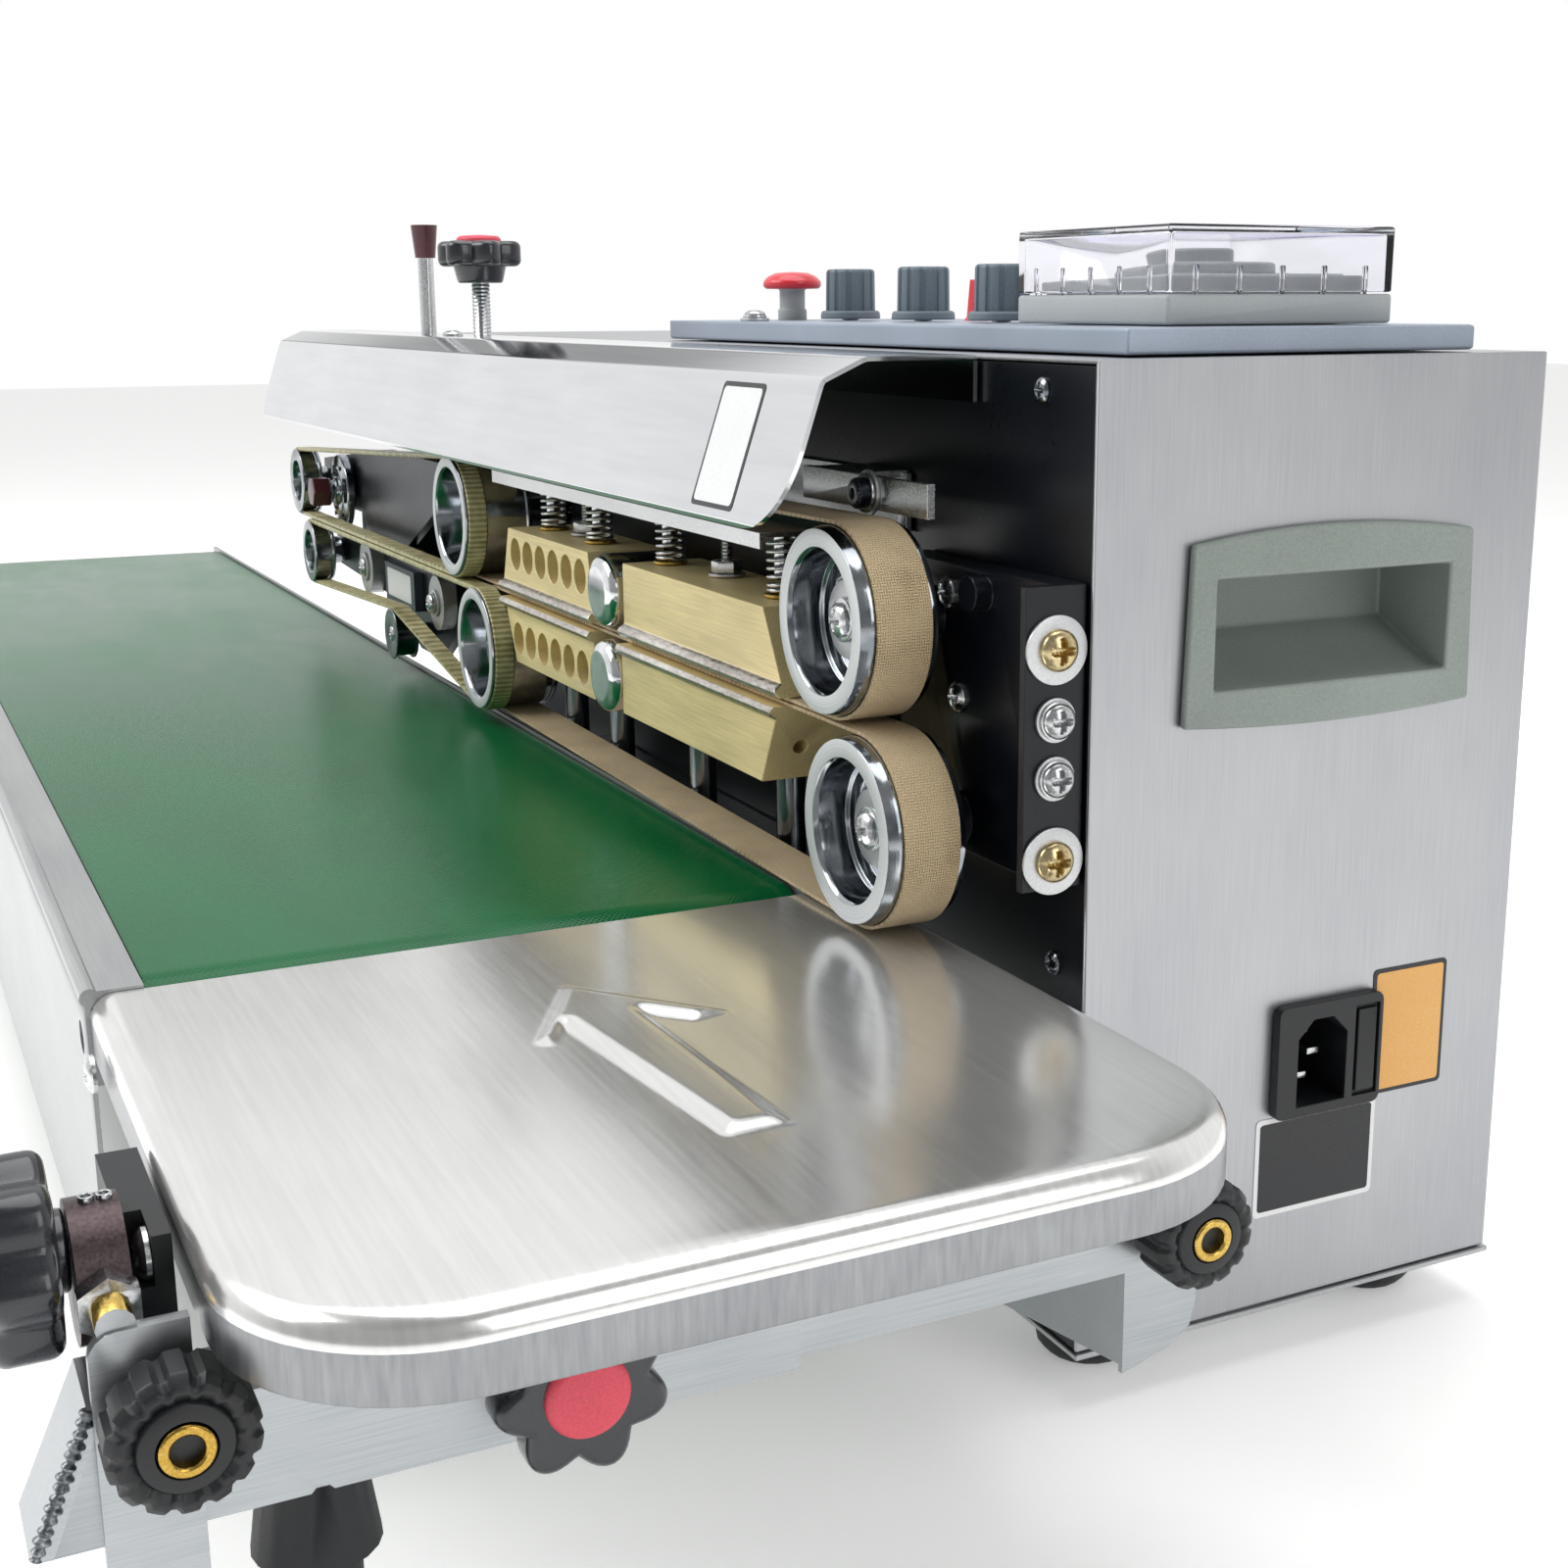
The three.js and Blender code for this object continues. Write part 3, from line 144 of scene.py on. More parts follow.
def grid(points, u=None, v=None):
    """Quads over a grid of points; u and v are its pattern coordinates in mm along rows and columns."""
    rows, cols = points.shape[:2]
    index = np.arange(rows * cols).reshape(rows, cols)
    quads = np.stack([index[:-1, :-1], index[:-1, 1:], index[1:, 1:], index[1:, :-1]], -1).reshape(-1, 4)
    uv = np.zeros((rows, cols, 2))
    uv[..., 0] = 0 if u is None else np.broadcast_to(u, (rows, cols))
    uv[..., 1] = 0 if v is None else np.broadcast_to(v, (rows, cols))
    return points.reshape(-1, 3), quads.tolist(), uv.reshape(-1, 2)


def lathe(profile, at, axis="y", sides=48, turn=0.0, squeeze=None):
    """A profile of (radius, height) carried round an axis through at: radius times the cosine and sine of
    the angle. squeeze, a function of angle, multiplies the radius, which makes flutes, lobes and
    hexagons."""
    p = np.asarray(profile, float)
    a = ring(sides, turn)
    scale = np.ones_like(a) if squeeze is None else squeeze(a)
    r = p[:, :1] * scale[None, :]
    across = np.stack([r * np.cos(a), r * np.sin(a)], -1)
    along = np.broadcast_to(p[:, 1:2], r.shape)
    pts = to_axis(across, along, axis)
    run = np.concatenate([[0], np.cumsum(np.linalg.norm(np.diff(p, axis=0), axis=1))])
    return grid(pts + np.asarray(at, float), u=run[:, None], v=(a * p[:, 0].max())[None, :])


def hexagon(a):
    """Radius multiplier of a hexagon whose flats are at 1."""
    step = math.pi / 3
    return 1 / np.cos((a % step) - step / 2) * math.cos(step / 2)


def inset(outline, d):
    """A closed outline moved inwards by d along the mean of its neighbouring side normals."""
    p = outline[:-1]
    ahead = np.roll(p, -1, 0) - p
    ahead /= np.maximum(np.linalg.norm(ahead, axis=1, keepdims=True), 1e-9)
    behind = np.roll(ahead, 1, 0)
    area = np.sum(p[:, 0] * np.roll(p[:, 1], -1) - np.roll(p[:, 0], -1) * p[:, 1])
    s = 1 if area > 0 else -1
    n = np.stack([-(ahead[:, 1] + behind[:, 1]), ahead[:, 0] + behind[:, 0]], -1) * s
    length = np.maximum(np.linalg.norm(n, axis=1, keepdims=True), 1e-9)
    n = n / length
    miter = np.clip(2 / length, 1, 1.6)
    q = p + n * d * miter
    return np.vstack([q, q[:1]])


def prism(outline, axis, low, high, edge=0.6, steps=3, both=True):
    """A closed outline carried from low to high; near each end it is drawn in along a quarter circle of
    radius edge."""
    out = np.asarray(outline, float)
    if np.linalg.norm(out[0] - out[-1]) > 1e-6:
        out = np.vstack([out, out[:1]])
    a = np.linspace(0, math.pi / 2, steps + 1)
    first = [(edge * (1 - math.sin(t)), low + edge * (1 - math.cos(t))) for t in a] if both else [(0, low)]
    last = [(edge * (1 - math.cos(t)), high - edge * (1 - math.sin(t))) for t in a]
    levels = first + last
    rows = np.stack([to_axis(inset(out, d), np.full(len(out), h), axis) for d, h in levels])
    pts, quads, uv = grid(rows)
    n = len(out)
    base = (len(levels) - 1) * n
    return pts, quads + [list(range(n - 2, -1, -1)), list(range(base, base + n - 1))], uv


def rounded(x0, x1, y0, y1, r, steps=6):
    """A rectangle outline with round corners, anticlockwise."""
    q = np.linspace(0, math.pi / 2, steps + 1)
    parts = [
        np.stack([cx + r * np.cos(q + k * math.pi / 2), cy + r * np.sin(q + k * math.pi / 2)], -1)
        for k, (cx, cy) in enumerate([(x1 - r, y1 - r), (x0 + r, y1 - r), (x0 + r, y0 + r), (x1 - r, y0 + r)])
    ]
    out = np.vstack(parts)
    return np.vstack([out, out[:1]])


def block(x, y, z, edge=0.8, steps=3):
    """A box with rounded edges: its outline is carried along its longest side."""
    spans = [x, y, z]
    longest = int(np.argmax([b - a for a, b in spans]))
    axis = "xyz"[longest]
    (a0, a1), (b0, b1) = [spans[i] for i in range(3) if i != longest]
    e = min(edge, 0.3 * (a1 - a0), 0.3 * (b1 - b0))
    return prism(rounded(a0, a1, b0, b1, e, steps), axis, *spans[longest], edge=e, steps=steps)


def sweep(path, radius, reference, sides=12, closed=False):
    """A round section carried along a path; its two across directions come from the tangent and a
    reference."""
    p = np.asarray(path, float)
    t = np.gradient(p, axis=0)
    if closed:
        t[0] = t[-1] = p[1] - p[-2]
    t /= np.linalg.norm(t, axis=1, keepdims=True)
    n = np.cross(t, reference)
    n /= np.linalg.norm(n, axis=1, keepdims=True)
    b = np.cross(t, n)
    a = ring(sides)
    r = np.broadcast_to(radius, len(p))[:, None, None]
    pts = p[:, None] + r * (n[:, None] * np.cos(a)[None, :, None] + b[:, None] * np.sin(a)[None, :, None])
    verts, quads, uv = grid(pts)
    if not closed:
        base = (len(p) - 1) * (sides + 1)
        quads = quads + [list(range(sides - 1, -1, -1)), list(range(base, base + sides))]
    return verts, quads, uv


def wheel_loop(wheels, offset, pitch=3.0):
    """Closed line round wheels of (x, z, radius, side): outer tangents joined by arcs, evenly resampled."""
    n = len(wheels)
    reach = [side * r + offset for _, _, r, side in wheels]
    legs = []
    for i in range(n):
        (px, pz), (qx, qz) = wheels[i][:2], wheels[(i + 1) % n][:2]
        rp, rq = reach[i], reach[(i + 1) % n]
        d = math.hypot(qx - px, qz - pz)
        a = math.atan2(qz - pz, qx - px) - math.acos((rp - rq) / d)
        c, s = math.cos(a), math.sin(a)
        legs.append(((px + rp * c, pz + rp * s), (qx + rq * c, qz + rq * s)))
    pieces = []
    for i in range(n):
        x, z = wheels[i][:2]
        start, end = legs[i - 1][1], legs[i][0]
        a0 = math.atan2(start[1] - z, start[0] - x)
        a1 = math.atan2(end[1] - z, end[0] - x)
        turn = 1 if reach[i] > 0 else -1
        while (a1 - a0) * turn < 0:
            a1 += turn * TAU
        a = np.linspace(a0, a1, 200)
        pieces.append(np.stack([x + abs(reach[i]) * np.cos(a), z + abs(reach[i]) * np.sin(a)], -1))
    line = np.vstack(pieces + [pieces[0][:1]])
    run = np.concatenate([[0], np.cumsum(np.linalg.norm(np.diff(line, axis=0), axis=1))])
    count = max(24, int(round(run[-1] / pitch)))
    s = np.linspace(0, run[-1], count + 1)
    keep = np.concatenate([[True], np.diff(run) > 1e-9])
    return np.stack([np.interp(s, run[keep], line[keep, k]) for k in (0, 1)], -1), s


def band(wheels, section, pitch=1.0, wave=None):
    """A closed belt: section points (height off the wheel, y) are carried round the loop along its normals.
    wave, a function of distance, adds to each height and makes teeth."""
    line, s = wheel_loop(wheels, 0.0, pitch)
    t = np.roll(line[:-1], -1, 0) - np.roll(line[:-1], 1, 0)
    t = np.vstack([t, t[:1]])
    t /= np.linalg.norm(t, axis=1, keepdims=True)
    normal = np.stack([t[:, 1], -t[:, 0]], -1)
    sec = np.asarray(section, float)
    sec = np.vstack([sec, sec[:1]])
    h = np.broadcast_to(sec[None, :, 0], (len(line), len(sec))).copy()
    if wave is not None:
        h += wave(s)[:, None] * (sec[None, :, 0] <= sec[:, 0].min() + 0.01)
    pts = np.stack([line[:, None, 0] + normal[:, None, 0] * h, np.broadcast_to(sec[None, :, 1], h.shape),
                    line[:, None, 1] + normal[:, None, 1] * h], -1)
    return grid(pts, u=s[:, None], v=sec[None, :, 1])


def cross_head(at, radius, dome, axis="y", facing=-1, depth=None, sides=48):
    """A screw head: a dome of height over radius, less a cross recess worked out from the distance to its
    two bars."""
    depth = dome * 0.9 if depth is None else depth
    r = np.linspace(0, 1, 13)[:, None] * radius
    a = ring(sides)[None, :]
    x, y = r * np.cos(a), r * np.sin(a)
    height = dome * np.sqrt(np.maximum(1 - (r / (radius * 1.06)) ** 2, 0)) + 0 * a
    bar, reach = radius * 0.13, radius * 0.62

    def slot(p, q):
        return np.clip((bar - np.abs(p)) / (bar * 0.7) + 0.6, 0,
                       1) * np.clip((reach - np.abs(q)) / (reach * 0.25), 0, 1)

    height = height - depth * np.maximum(slot(x, y), slot(y, x))
    rows = np.vstack([height, np.full((1, height.shape[1]), 0.0), np.zeros((1, height.shape[1]))])
    x = np.vstack([x, x[-1:], x[-1:] * 0])
    y = np.vstack([y, y[-1:], y[-1:] * 0])
    pts = to_axis(np.stack([x, y], -1), rows * facing, axis)
    return grid(pts + np.asarray(at, float))


def washer(at, r_in, r_out, thick, axis="y", facing=-1, edge=0.25, sides=40):
    """A flat ring with softened edges, turned round its axis."""
    h = thick * facing
    profile = soft_loop([(r_in, 0), (r_out, 0), (r_out, h), (r_in, h)], edge, 2)
    return lathe(profile, at, axis, sides)


def helix(at, radius, wire, low, high, turns, sides=10, per_turn=20):
    """A compression spring: a round wire along a helix whose first and last turns lie flat."""
    n = int(turns * per_turn)
    t = np.linspace(0, 1, n + 1)
    flat = 1.0 / turns
    lift = np.clip((t - flat) / (1 - 2 * flat), 0, 1)
    z = low + wire + (high - low - 2 * wire) * lift
    z = z + np.where(t < flat, t / flat * wire * 0.9, 0)
    a = t * turns * TAU
    path = np.stack([at[0] + radius * np.cos(a), at[1] + radius * np.sin(a), z], -1)
    return sweep(path, wire, (0, 0, 1), sides)


# ---- putting shapes into the scene
def place(points):
    """Machine mm to the frame's metres."""
    return np.asarray(points, float) * MM + CORNER


def clean(mesh, recalc=True):
    """Merges the doubles left by closed grids and turns every face outwards."""
    bm = bmesh.new()
    bm.from_mesh(mesh)
    bmesh.ops.remove_doubles(bm, verts=bm.verts, dist=2e-6)
    bmesh.ops.dissolve_degenerate(bm, edges=bm.edges, dist=1e-7)
    if recalc:
        bmesh.ops.recalc_face_normals(bm, faces=bm.faces)
    bm.to_mesh(mesh)
    bm.free()


def finish_piece(obj, body, stands_for, bevel, segments, angle):
    """Smooth shading up to an angle, an optional bevel, its rigid body as parent, and the frame nodes that it
    stands for hidden.
    """
    mesh = obj.data
    mesh.shade_smooth()
    mesh.set_sharp_from_angle(angle=math.radians(angle))
    if bevel > 0:
        cut = obj.modifiers.new("Edge", "BEVEL")
        cut.width = bevel * MM
        cut.segments = segments
        cut.limit_method = "ANGLE"
        cut.angle_limit = math.radians(35)
        cut.harden_normals = True
        cut.use_clamp_overlap = True
    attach(obj, body)
    if stands_for:
        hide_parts(*stands_for)
    return obj


def piece(name, body, shells, finishes, stands_for=(), bevel=0.0, segments=2, angle=38, wall=0.0):
    """One object out of shells; finishes is one material or a list with one for each shell."""
    finishes = finishes if isinstance(finishes, list) else [finishes] * len(shells)
    order = list(dict.fromkeys(finishes))
    verts, faces, uvs, which, base = [], [], [], [], 0
    for (pts, quads, uv), finish in zip(shells, finishes):
        verts.append(place(pts))
        uvs.append(uv)
        faces += [[i + base for i in f] for f in quads]
        which += [order.index(finish)] * len(quads)
        base += len(pts)
    mesh = bpy.data.meshes.new(name)
    mesh.from_pydata(np.vstack(verts), [], faces)
    layer = mesh.uv_layers.new(name="Surface")
    corner = np.zeros(len(mesh.loops), np.int32)
    mesh.loops.foreach_get("vertex_index", corner)
    layer.data.foreach_set("uv", (np.vstack(uvs)[corner] * MM).astype(np.float32).ravel())
    mesh.polygons.foreach_set("material_index", np.array(which, np.int32))
    for key in order:
        mesh.materials.append(material(key))
    clean(mesh)
    obj = bpy.data.objects.new(name, mesh)
    bpy.context.scene.collection.objects.link(obj)
    if wall:
        thick = obj.modifiers.new("Wall", "SOLIDIFY")
        thick.thickness = abs(wall) * MM
        thick.offset = -1 if wall > 0 else 1
        thick.use_even_offset = True
    return finish_piece(obj, body, stands_for, bevel, segments, angle)


def refined(node, finish, bevel=0.5, zones=(), segments=2, angle=38, cut_walls=False):
    """A welded copy of a frame node with its flat faces joined, so that its edges can be rounded. With
    cut_walls its front and back walls stay as they are, since slots and an opening go through them. Each
    zone is a finish with the lowest and highest corner, in machine mm, that its face centres lie
    between."""
    source = frame["nodes"][node]
    body = source["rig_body"]
    mesh = source.data.copy()
    mesh.materials.clear()
    mesh.materials.append(material(finish))
    for zone in zones:
        mesh.materials.append(material(zone[0]))
    clean(mesh, recalc=False)
    bm = bmesh.new()
    bm.from_mesh(mesh)
    for face in bm.faces:
        middle = (np.array(face.calc_center_median()) - CORNER) / MM
        for k, (_, low, high) in enumerate(zones):
            if np.all(middle >= low) and np.all(middle <= high):
                face.material_index = k + 1
    joined = [e for e in bm.edges if not (cut_walls and any(abs(f.normal.y) > 0.9 for f in e.link_faces))]
    corners = list({v for e in joined for v in e.verts})
    bmesh.ops.dissolve_limit(bm, angle_limit=math.radians(1.0), verts=corners, edges=joined,
                             delimit={"MATERIAL"})
    bm.to_mesh(mesh)
    bm.free()
    obj = bpy.data.objects.new(node + "_finished", mesh)
    bpy.context.scene.collection.objects.link(obj)
    return finish_piece(obj, body, (node,), bevel, segments, angle)


# ---- finishes
def linear(colour):
    """An sRGB hex colour as linear red, green, blue and alpha."""
    c = np.array([int(colour[i:i + 2], 16) for i in (1, 3, 5)]) / 255
    lin = np.where(c <= 0.04045, c / 12.92, ((c + 0.055) / 1.055) ** 2.4)
    return (*lin.tolist(), 1.0)


def add(tree, kind, links=None, **settings):
    """Adds one node: settings are its own properties, links its inputs as values or as sockets to join."""
    node = tree.nodes.new("ShaderNode" + kind)
    for key, value in settings.items():
        setattr(node, key, value)
    for key, value in (links or {}).items():
        if isinstance(value, bpy.types.NodeSocket):
            tree.links.new(value, node.inputs[key])
        else:
            node.inputs[key].default_value = value
    return node


def start(name, **fixed):
    """A material with a Principled shader whose constant sockets are set directly."""
    mat = bpy.data.materials.new(name)
    mat.use_nodes = True
    tree = mat.node_tree
    tree.nodes.clear()
    bsdf = add(tree, "BsdfPrincipled", fixed)
    add(tree, "OutputMaterial", {"Surface": bsdf.outputs[0]})
    return mat, tree, bsdf


def pattern(tree, size, detail=2.0, uv=False, rough=0.55, distortion=0.0):
    """Noise whose features measure size mm along each direction."""
    coords = add(tree, "UVMap", uv_map="Surface").outputs[0] if uv else add(tree,
                                                                            "TexCoord").outputs["Object"]
    scaled = add(tree, "Mapping", {0: coords, "Scale": [1000 / s for s in size]})
    noise = add(tree, "TexNoise", {"Vector": scaled.outputs[0], "Scale": 1.0, "Detail": detail,
                                   "Roughness": rough,
                                   "Distortion": distortion})
    return noise.outputs[0]


def tones(name):
    """The darker and lighter tone of one of the colours in the add-on's settings."""
    colour = np.array(getattr(bpy.context.scene.sealer_colours, name))
    return tuple(colour * 0.84) + (1.0,), tuple(np.minimum(colour * 1.18, 1.0)) + (1.0,)


def shade(tree, factor, low, high, lo=0.3, hi=0.7):
    """Colour from low to high, as hex or linear values, as the factor goes from lo to hi."""
    ramp = add(tree, "ValToRGB", {0: factor})
    ramp.color_ramp.elements[0].position = lo
    ramp.color_ramp.elements[1].position = hi
    ramp.color_ramp.elements[0].color = linear(low) if isinstance(low, str) else low
    ramp.color_ramp.elements[1].color = linear(high) if isinstance(high, str) else high
    return ramp.outputs[0]


def spread(tree, factor, low, high, lo=0.3, hi=0.7):
    """A number from low to high as the factor goes from lo to hi."""
    return add(tree, "MapRange", {0: factor, 1: lo, 2: hi, 3: low, 4: high}).outputs[0]


def bumped(tree, bsdf, height, mm, strength=1.0):
    """Sets the shader's normal from a height map of that depth in mm."""
    bump = add(tree, "Bump", {"Height": height, "Distance": mm * MM, "Strength": strength})
    tree.links.new(bump.outputs[0], bsdf.inputs["Normal"])


def worked(name, colours, rough, grain, cloud=(60, 60, 60), bump=0.02, metallic=0.0, uv=False, detail=2.0,
           **fixed):
    """A surface with a fine grain that changes roughness and height, and a broad cloud that shifts the
    colour."""
    mat, tree, bsdf = start(name, Metallic=metallic, **fixed)
    fine = pattern(tree, grain, detail, uv)
    broad = pattern(tree, cloud, 3.0, False)
    mixed = add(tree, "Math", {0: fine, 1: broad}, operation="ADD")
    half = add(tree, "Math", {0: mixed.outputs[0], 1: 0.5}, operation="MULTIPLY").outputs[0]
    pair = tones(colours) if isinstance(colours, str) else colours
    tree.links.new(shade(tree, half, *pair, 0.36, 0.64), bsdf.inputs["Base Color"])
    tree.links.new(spread(tree, half, *rough), bsdf.inputs["Roughness"])
    if bump:
        bumped(tree, bsdf, fine, bump)
    return mat


PLAIN = {
    # folded stainless sheet, belt-brushed upright: hair-fine upright streaks that only just show
    "stainless_brushed_upright": dict(colours=("#a6a8ac", "#b4b5b7"), rough=(0.34, 0.4), grain=(0.5, 0.5, 26),
                                      cloud=(45, 45, 70), bump=0.003, metallic=0.9),
    # the same sheet with its brushing along the machine
    "stainless_brushed_along": dict(colours=("#a9abad", "#bbbcbc"), rough=(0.32, 0.38), grain=(30, 0.5, 0.5),
                                    cloud=(80, 40, 40), bump=0.003, metallic=0.9),
    # arms brushed along their own length, across the machine
    "stainless_brushed_across": dict(colours=("#9fa4a8", "#b4b7b9"), rough=(0.3, 0.37), grain=(0.5, 30, 0.5),
                                     cloud=(40, 80, 40), bump=0.003, metallic=0.92),
    # hood polished to a mirror, with only a faint haze
    "stainless_mirror": dict(colours=("#d4d6d9", "#dfe1e3"), rough=(0.07, 0.1), grain=(60, 4, 4),
                             cloud=(90, 60, 60), bump=0.0, metallic=1.0),
    # tray polished after pressing, then handled: satin, so that dark reflections come back soft and pale
    "stainless_polished_tray": dict(colours=("#dcdcda", "#e8e8e6"), rough=(0.17, 0.22), grain=(40, 1.5, 8),
                                    cloud=(70, 50, 50), bump=0.0012, metallic=0.82),
    # the tray's skirt: painted shade, a darker, greyer copy of the tray's steel whose colour stands in for
    # the dark surroundings that the skirt mirrors; it is also rougher than its top
    "stainless_skirt_painted_dark_reflection": dict(colours=("#85878a", "#9c9ea0"), rough=(0.26, 0.36), grain=(1.5, 1.5, 12),
                            cloud=(50, 50, 30), bump=0.0012, metallic=0.95),
    # stove enamel over flat steel: deep blue-black with a wet gloss
    "enamel_black": dict(colours=("#080b11", "#0e121a"), rough=(0.26, 0.34), grain=(1.2, 1.2, 1.2),
                         bump=0.006,
                         **{"Specular IOR Level": 0.35}),
    # dark steel with a black oxide skin
    "steel_oxidised": dict(colours=("#1d2127", "#343a42"), rough=(0.25, 0.4), grain=(0.8, 0.8, 0.8),
                           bump=0.01,
                           metallic=0.85),
    # bronze-brown phosphate on the turned collar
    "steel_phosphated": dict(colours=("#44393a", "#64575a"), rough=(0.3, 0.45), grain=(0.8, 0.8, 0.8),
                             bump=0.015,
                             metallic=0.8),
    # brass bar, milled then brushed: pale champagne with long hair lines
    "brass_brushed": dict(colours="jaw_brass", rough=(0.4, 0.48), grain=(24, 0.5, 0.5),
                          cloud=(60, 20, 20), bump=0.004, metallic=0.3),
    "brass_turned": dict(colours=("#b08c3c", "#dcc070"), rough=(0.2, 0.34), grain=(0.6, 0.6, 0.6), bump=0.01,
                         metallic=1.0),
    # silvery worn skin on the lips that press the film
    "silver_lip": dict(colours=("#9c948c", "#dcd8d2"), rough=(0.18, 0.45), grain=(3.5, 1.2, 1.2), bump=0.03,
                       metallic=0.95, detail=4.0),
    # bright zinc plate on screws, washers and springs
    "zinc_bright": dict(colours=("#aeb0b2", "#dcddde"), rough=(0.16, 0.3), grain=(0.8, 0.8, 0.8), bump=0.006,
                        metallic=1.0),
    "zinc_washer": dict(colours=("#b4b5b6", "#d2d3d4"), rough=(0.34, 0.46), grain=(0.4, 0.4, 0.4), bump=0.01,
                        metallic=0.9),
    # yellow chromate on the two large screws: thin straw-coloured film
    "zinc_yellow": dict(colours=("#b09a68", "#d8c8a0"), rough=(0.16, 0.28), grain=(0.8, 0.8, 0.8), bump=0.006,
                        metallic=1.0),
    "steel_burnished": dict(colours=("#5c6168", "#a4a8ac"), rough=(0.1, 0.26), grain=(1.5, 1.5, 9), bump=0.01,
                            metallic=1.0),
    # moulded knobs: dark, slightly waxy, fine spark-eroded grain
    "phenolic_black": dict(colours="knob_black", rough=(0.24, 0.36), grain=(0.7, 0.7, 0.7), bump=0.02,
                           **{"Coat Weight": 0.5, "Coat Roughness": 0.1}),
    "nylon_black": dict(colours=("#0e1013", "#191c20"), rough=(0.4, 0.55), grain=(0.5, 0.5, 0.5), bump=0.03),
    "abs_handle_grey": dict(colours="handle_grey", rough=(0.42, 0.52), grain=(0.5, 0.5, 0.5), bump=0.02),
    "abs_slate": dict(colours="dial_slate", rough=(0.42, 0.55), grain=(0.5, 0.5, 0.5), bump=0.025),
    "abs_pale_grey": dict(colours=("#9fa5a6", "#b2b7b7"), rough=(0.4, 0.5), grain=(0.5, 0.5, 0.5),
                          bump=0.015),
    "dial_card": dict(colours=("#c6c9cb", "#d8dadb"), rough=(0.5, 0.6), grain=(0.4, 0.4, 0.4), bump=0.004),
    "ink_dark": dict(colours=("#22262c", "#2e333a"), rough=(0.5, 0.6), grain=(0.4, 0.4, 0.4), bump=0.0),
    "pvc_red": dict(colours="button_red", rough=(0.26, 0.36), grain=(0.7, 0.7, 0.7), bump=0.01,
                    **{"Coat Weight": 0.3, "Coat Roughness": 0.1}),
    "cap_red": dict(colours="cap_red", rough=(0.42, 0.55), grain=(0.5, 0.5, 0.5), bump=0.02),
    "fibre_maroon": dict(colours=("#3c1218", "#56202a"), rough=(0.25, 0.36), grain=(0.7, 0.7, 0.7), bump=0.01,
                         **{"Coat Weight": 0.25, "Coat Roughness": 0.15}),
    # anodised plate, blasted first: even blue-grey with a dull sparkle
    "anodised_blue_grey": dict(colours="panel_blue_grey", rough=(0.36, 0.46), grain=(0.35, 0.35, 0.35),
                               bump=0.006, metallic=0.45),
    "rubber_moulded": dict(colours=("#111316", "#1d2024"), rough=(0.5, 0.68), grain=(0.6, 0.6, 0.6),
                           bump=0.03),
    "motor_enamel": dict(colours=("#39434d", "#4a555f"), rough=(0.35, 0.5), grain=(0.8, 0.8, 0.8),
                         bump=0.015),
    # weld run left as laid: grey, rippled and a little burnt
    "weld_bead": dict(colours=("#5f6468", "#b9bcbf"), rough=(0.3, 0.5), grain=(1.2, 1.2, 1.2), bump=0.08,
                      metallic=0.9),
    "label_white": dict(colours=("#dfe0e1", "#ececec"), rough=(0.3, 0.4), grain=(0.6, 0.6, 0.6), bump=0.003),
    "label_black": dict(colours=("#101216", "#1a1d22"), rough=(0.25, 0.35), grain=(0.6, 0.6, 0.6),
                        bump=0.003),
    "label_amber": dict(colours=("#d9a052", "#e6b166"), rough=(0.3, 0.4), grain=(0.6, 0.6, 0.6), bump=0.003),
}


def turned_metal(name, low, high, rough, groove=0.5, bump=0.005):
    """Turned on a lathe: rings that follow the tool, read from the distance along the piece's own profile."""
    mat, tree, bsdf = start(name, Metallic=1.0)
    rings = pattern(tree, (groove, 400, 400), 2.0, True)
    smear = pattern(tree, (9, 14, 9), 2.0)
    tree.links.new(shade(tree, smear, low, high), bsdf.inputs["Base Color"])
    tree.links.new(spread(tree, rings, *rough), bsdf.inputs["Roughness"])
    bumped(tree, bsdf, rings, bump)
    return mat


def woven_band():
    """Glass cloth coated with PTFE: a square weave, drawn at 1.5 mm a thread, coarser than real so that it
    shows."""
    mat, tree, bsdf = start("ptfe_glass_cloth_woven", **{"Sheen Weight": 0.15, "Sheen Roughness": 0.5})
    uv = add(tree, "UVMap", uv_map="Surface").outputs[0]
    part = add(tree, "SeparateXYZ", {0: uv})

    def wave(socket, pitch, turn=0.0):
        turned = add(tree, "Math", {0: socket, 1: TAU * 1000 / pitch, 2: turn},
                     operation="MULTIPLY_ADD").outputs[0]
        return add(tree, "Math", {0: turned}, operation="SINE").outputs[0]

    warp, weft = wave(part.outputs[0], 3.0), wave(part.outputs[1], 2.8)
    check = add(tree, "Math", {0: warp, 1: weft}, operation="MULTIPLY").outputs[0]
    thread_u = add(tree, "Math", {0: wave(part.outputs[0], 1.5, 1.57)}, operation="ABSOLUTE").outputs[0]
    thread_v = add(tree, "Math", {0: wave(part.outputs[1], 1.4, 1.57)}, operation="ABSOLUTE").outputs[0]
    over = add(tree, "MapRange", {0: check, 1: -0.25, 2: 0.25, 3: 0.0, 4: 1.0}).outputs[0]
    height = add(tree, "Mix", {0: over, 2: thread_u, 3: thread_v}).outputs[0]
    stain = pattern(tree, (14, 14, 14), 3.0)
    tone = add(tree, "Math", {0: height, 1: 0.7}, operation="MULTIPLY").outputs[0]
    sum_ = add(tree, "Math", {0: tone, 1: stain}, operation="ADD").outputs[0]
    tree.links.new(shade(tree, sum_, "#7c6540", "#d9c198", 0.4, 1.15), bsdf.inputs["Base Color"])
    tree.links.new(spread(tree, height, 0.62, 0.4), bsdf.inputs["Roughness"])
    bumped(tree, bsdf, height, 0.3)
    return mat


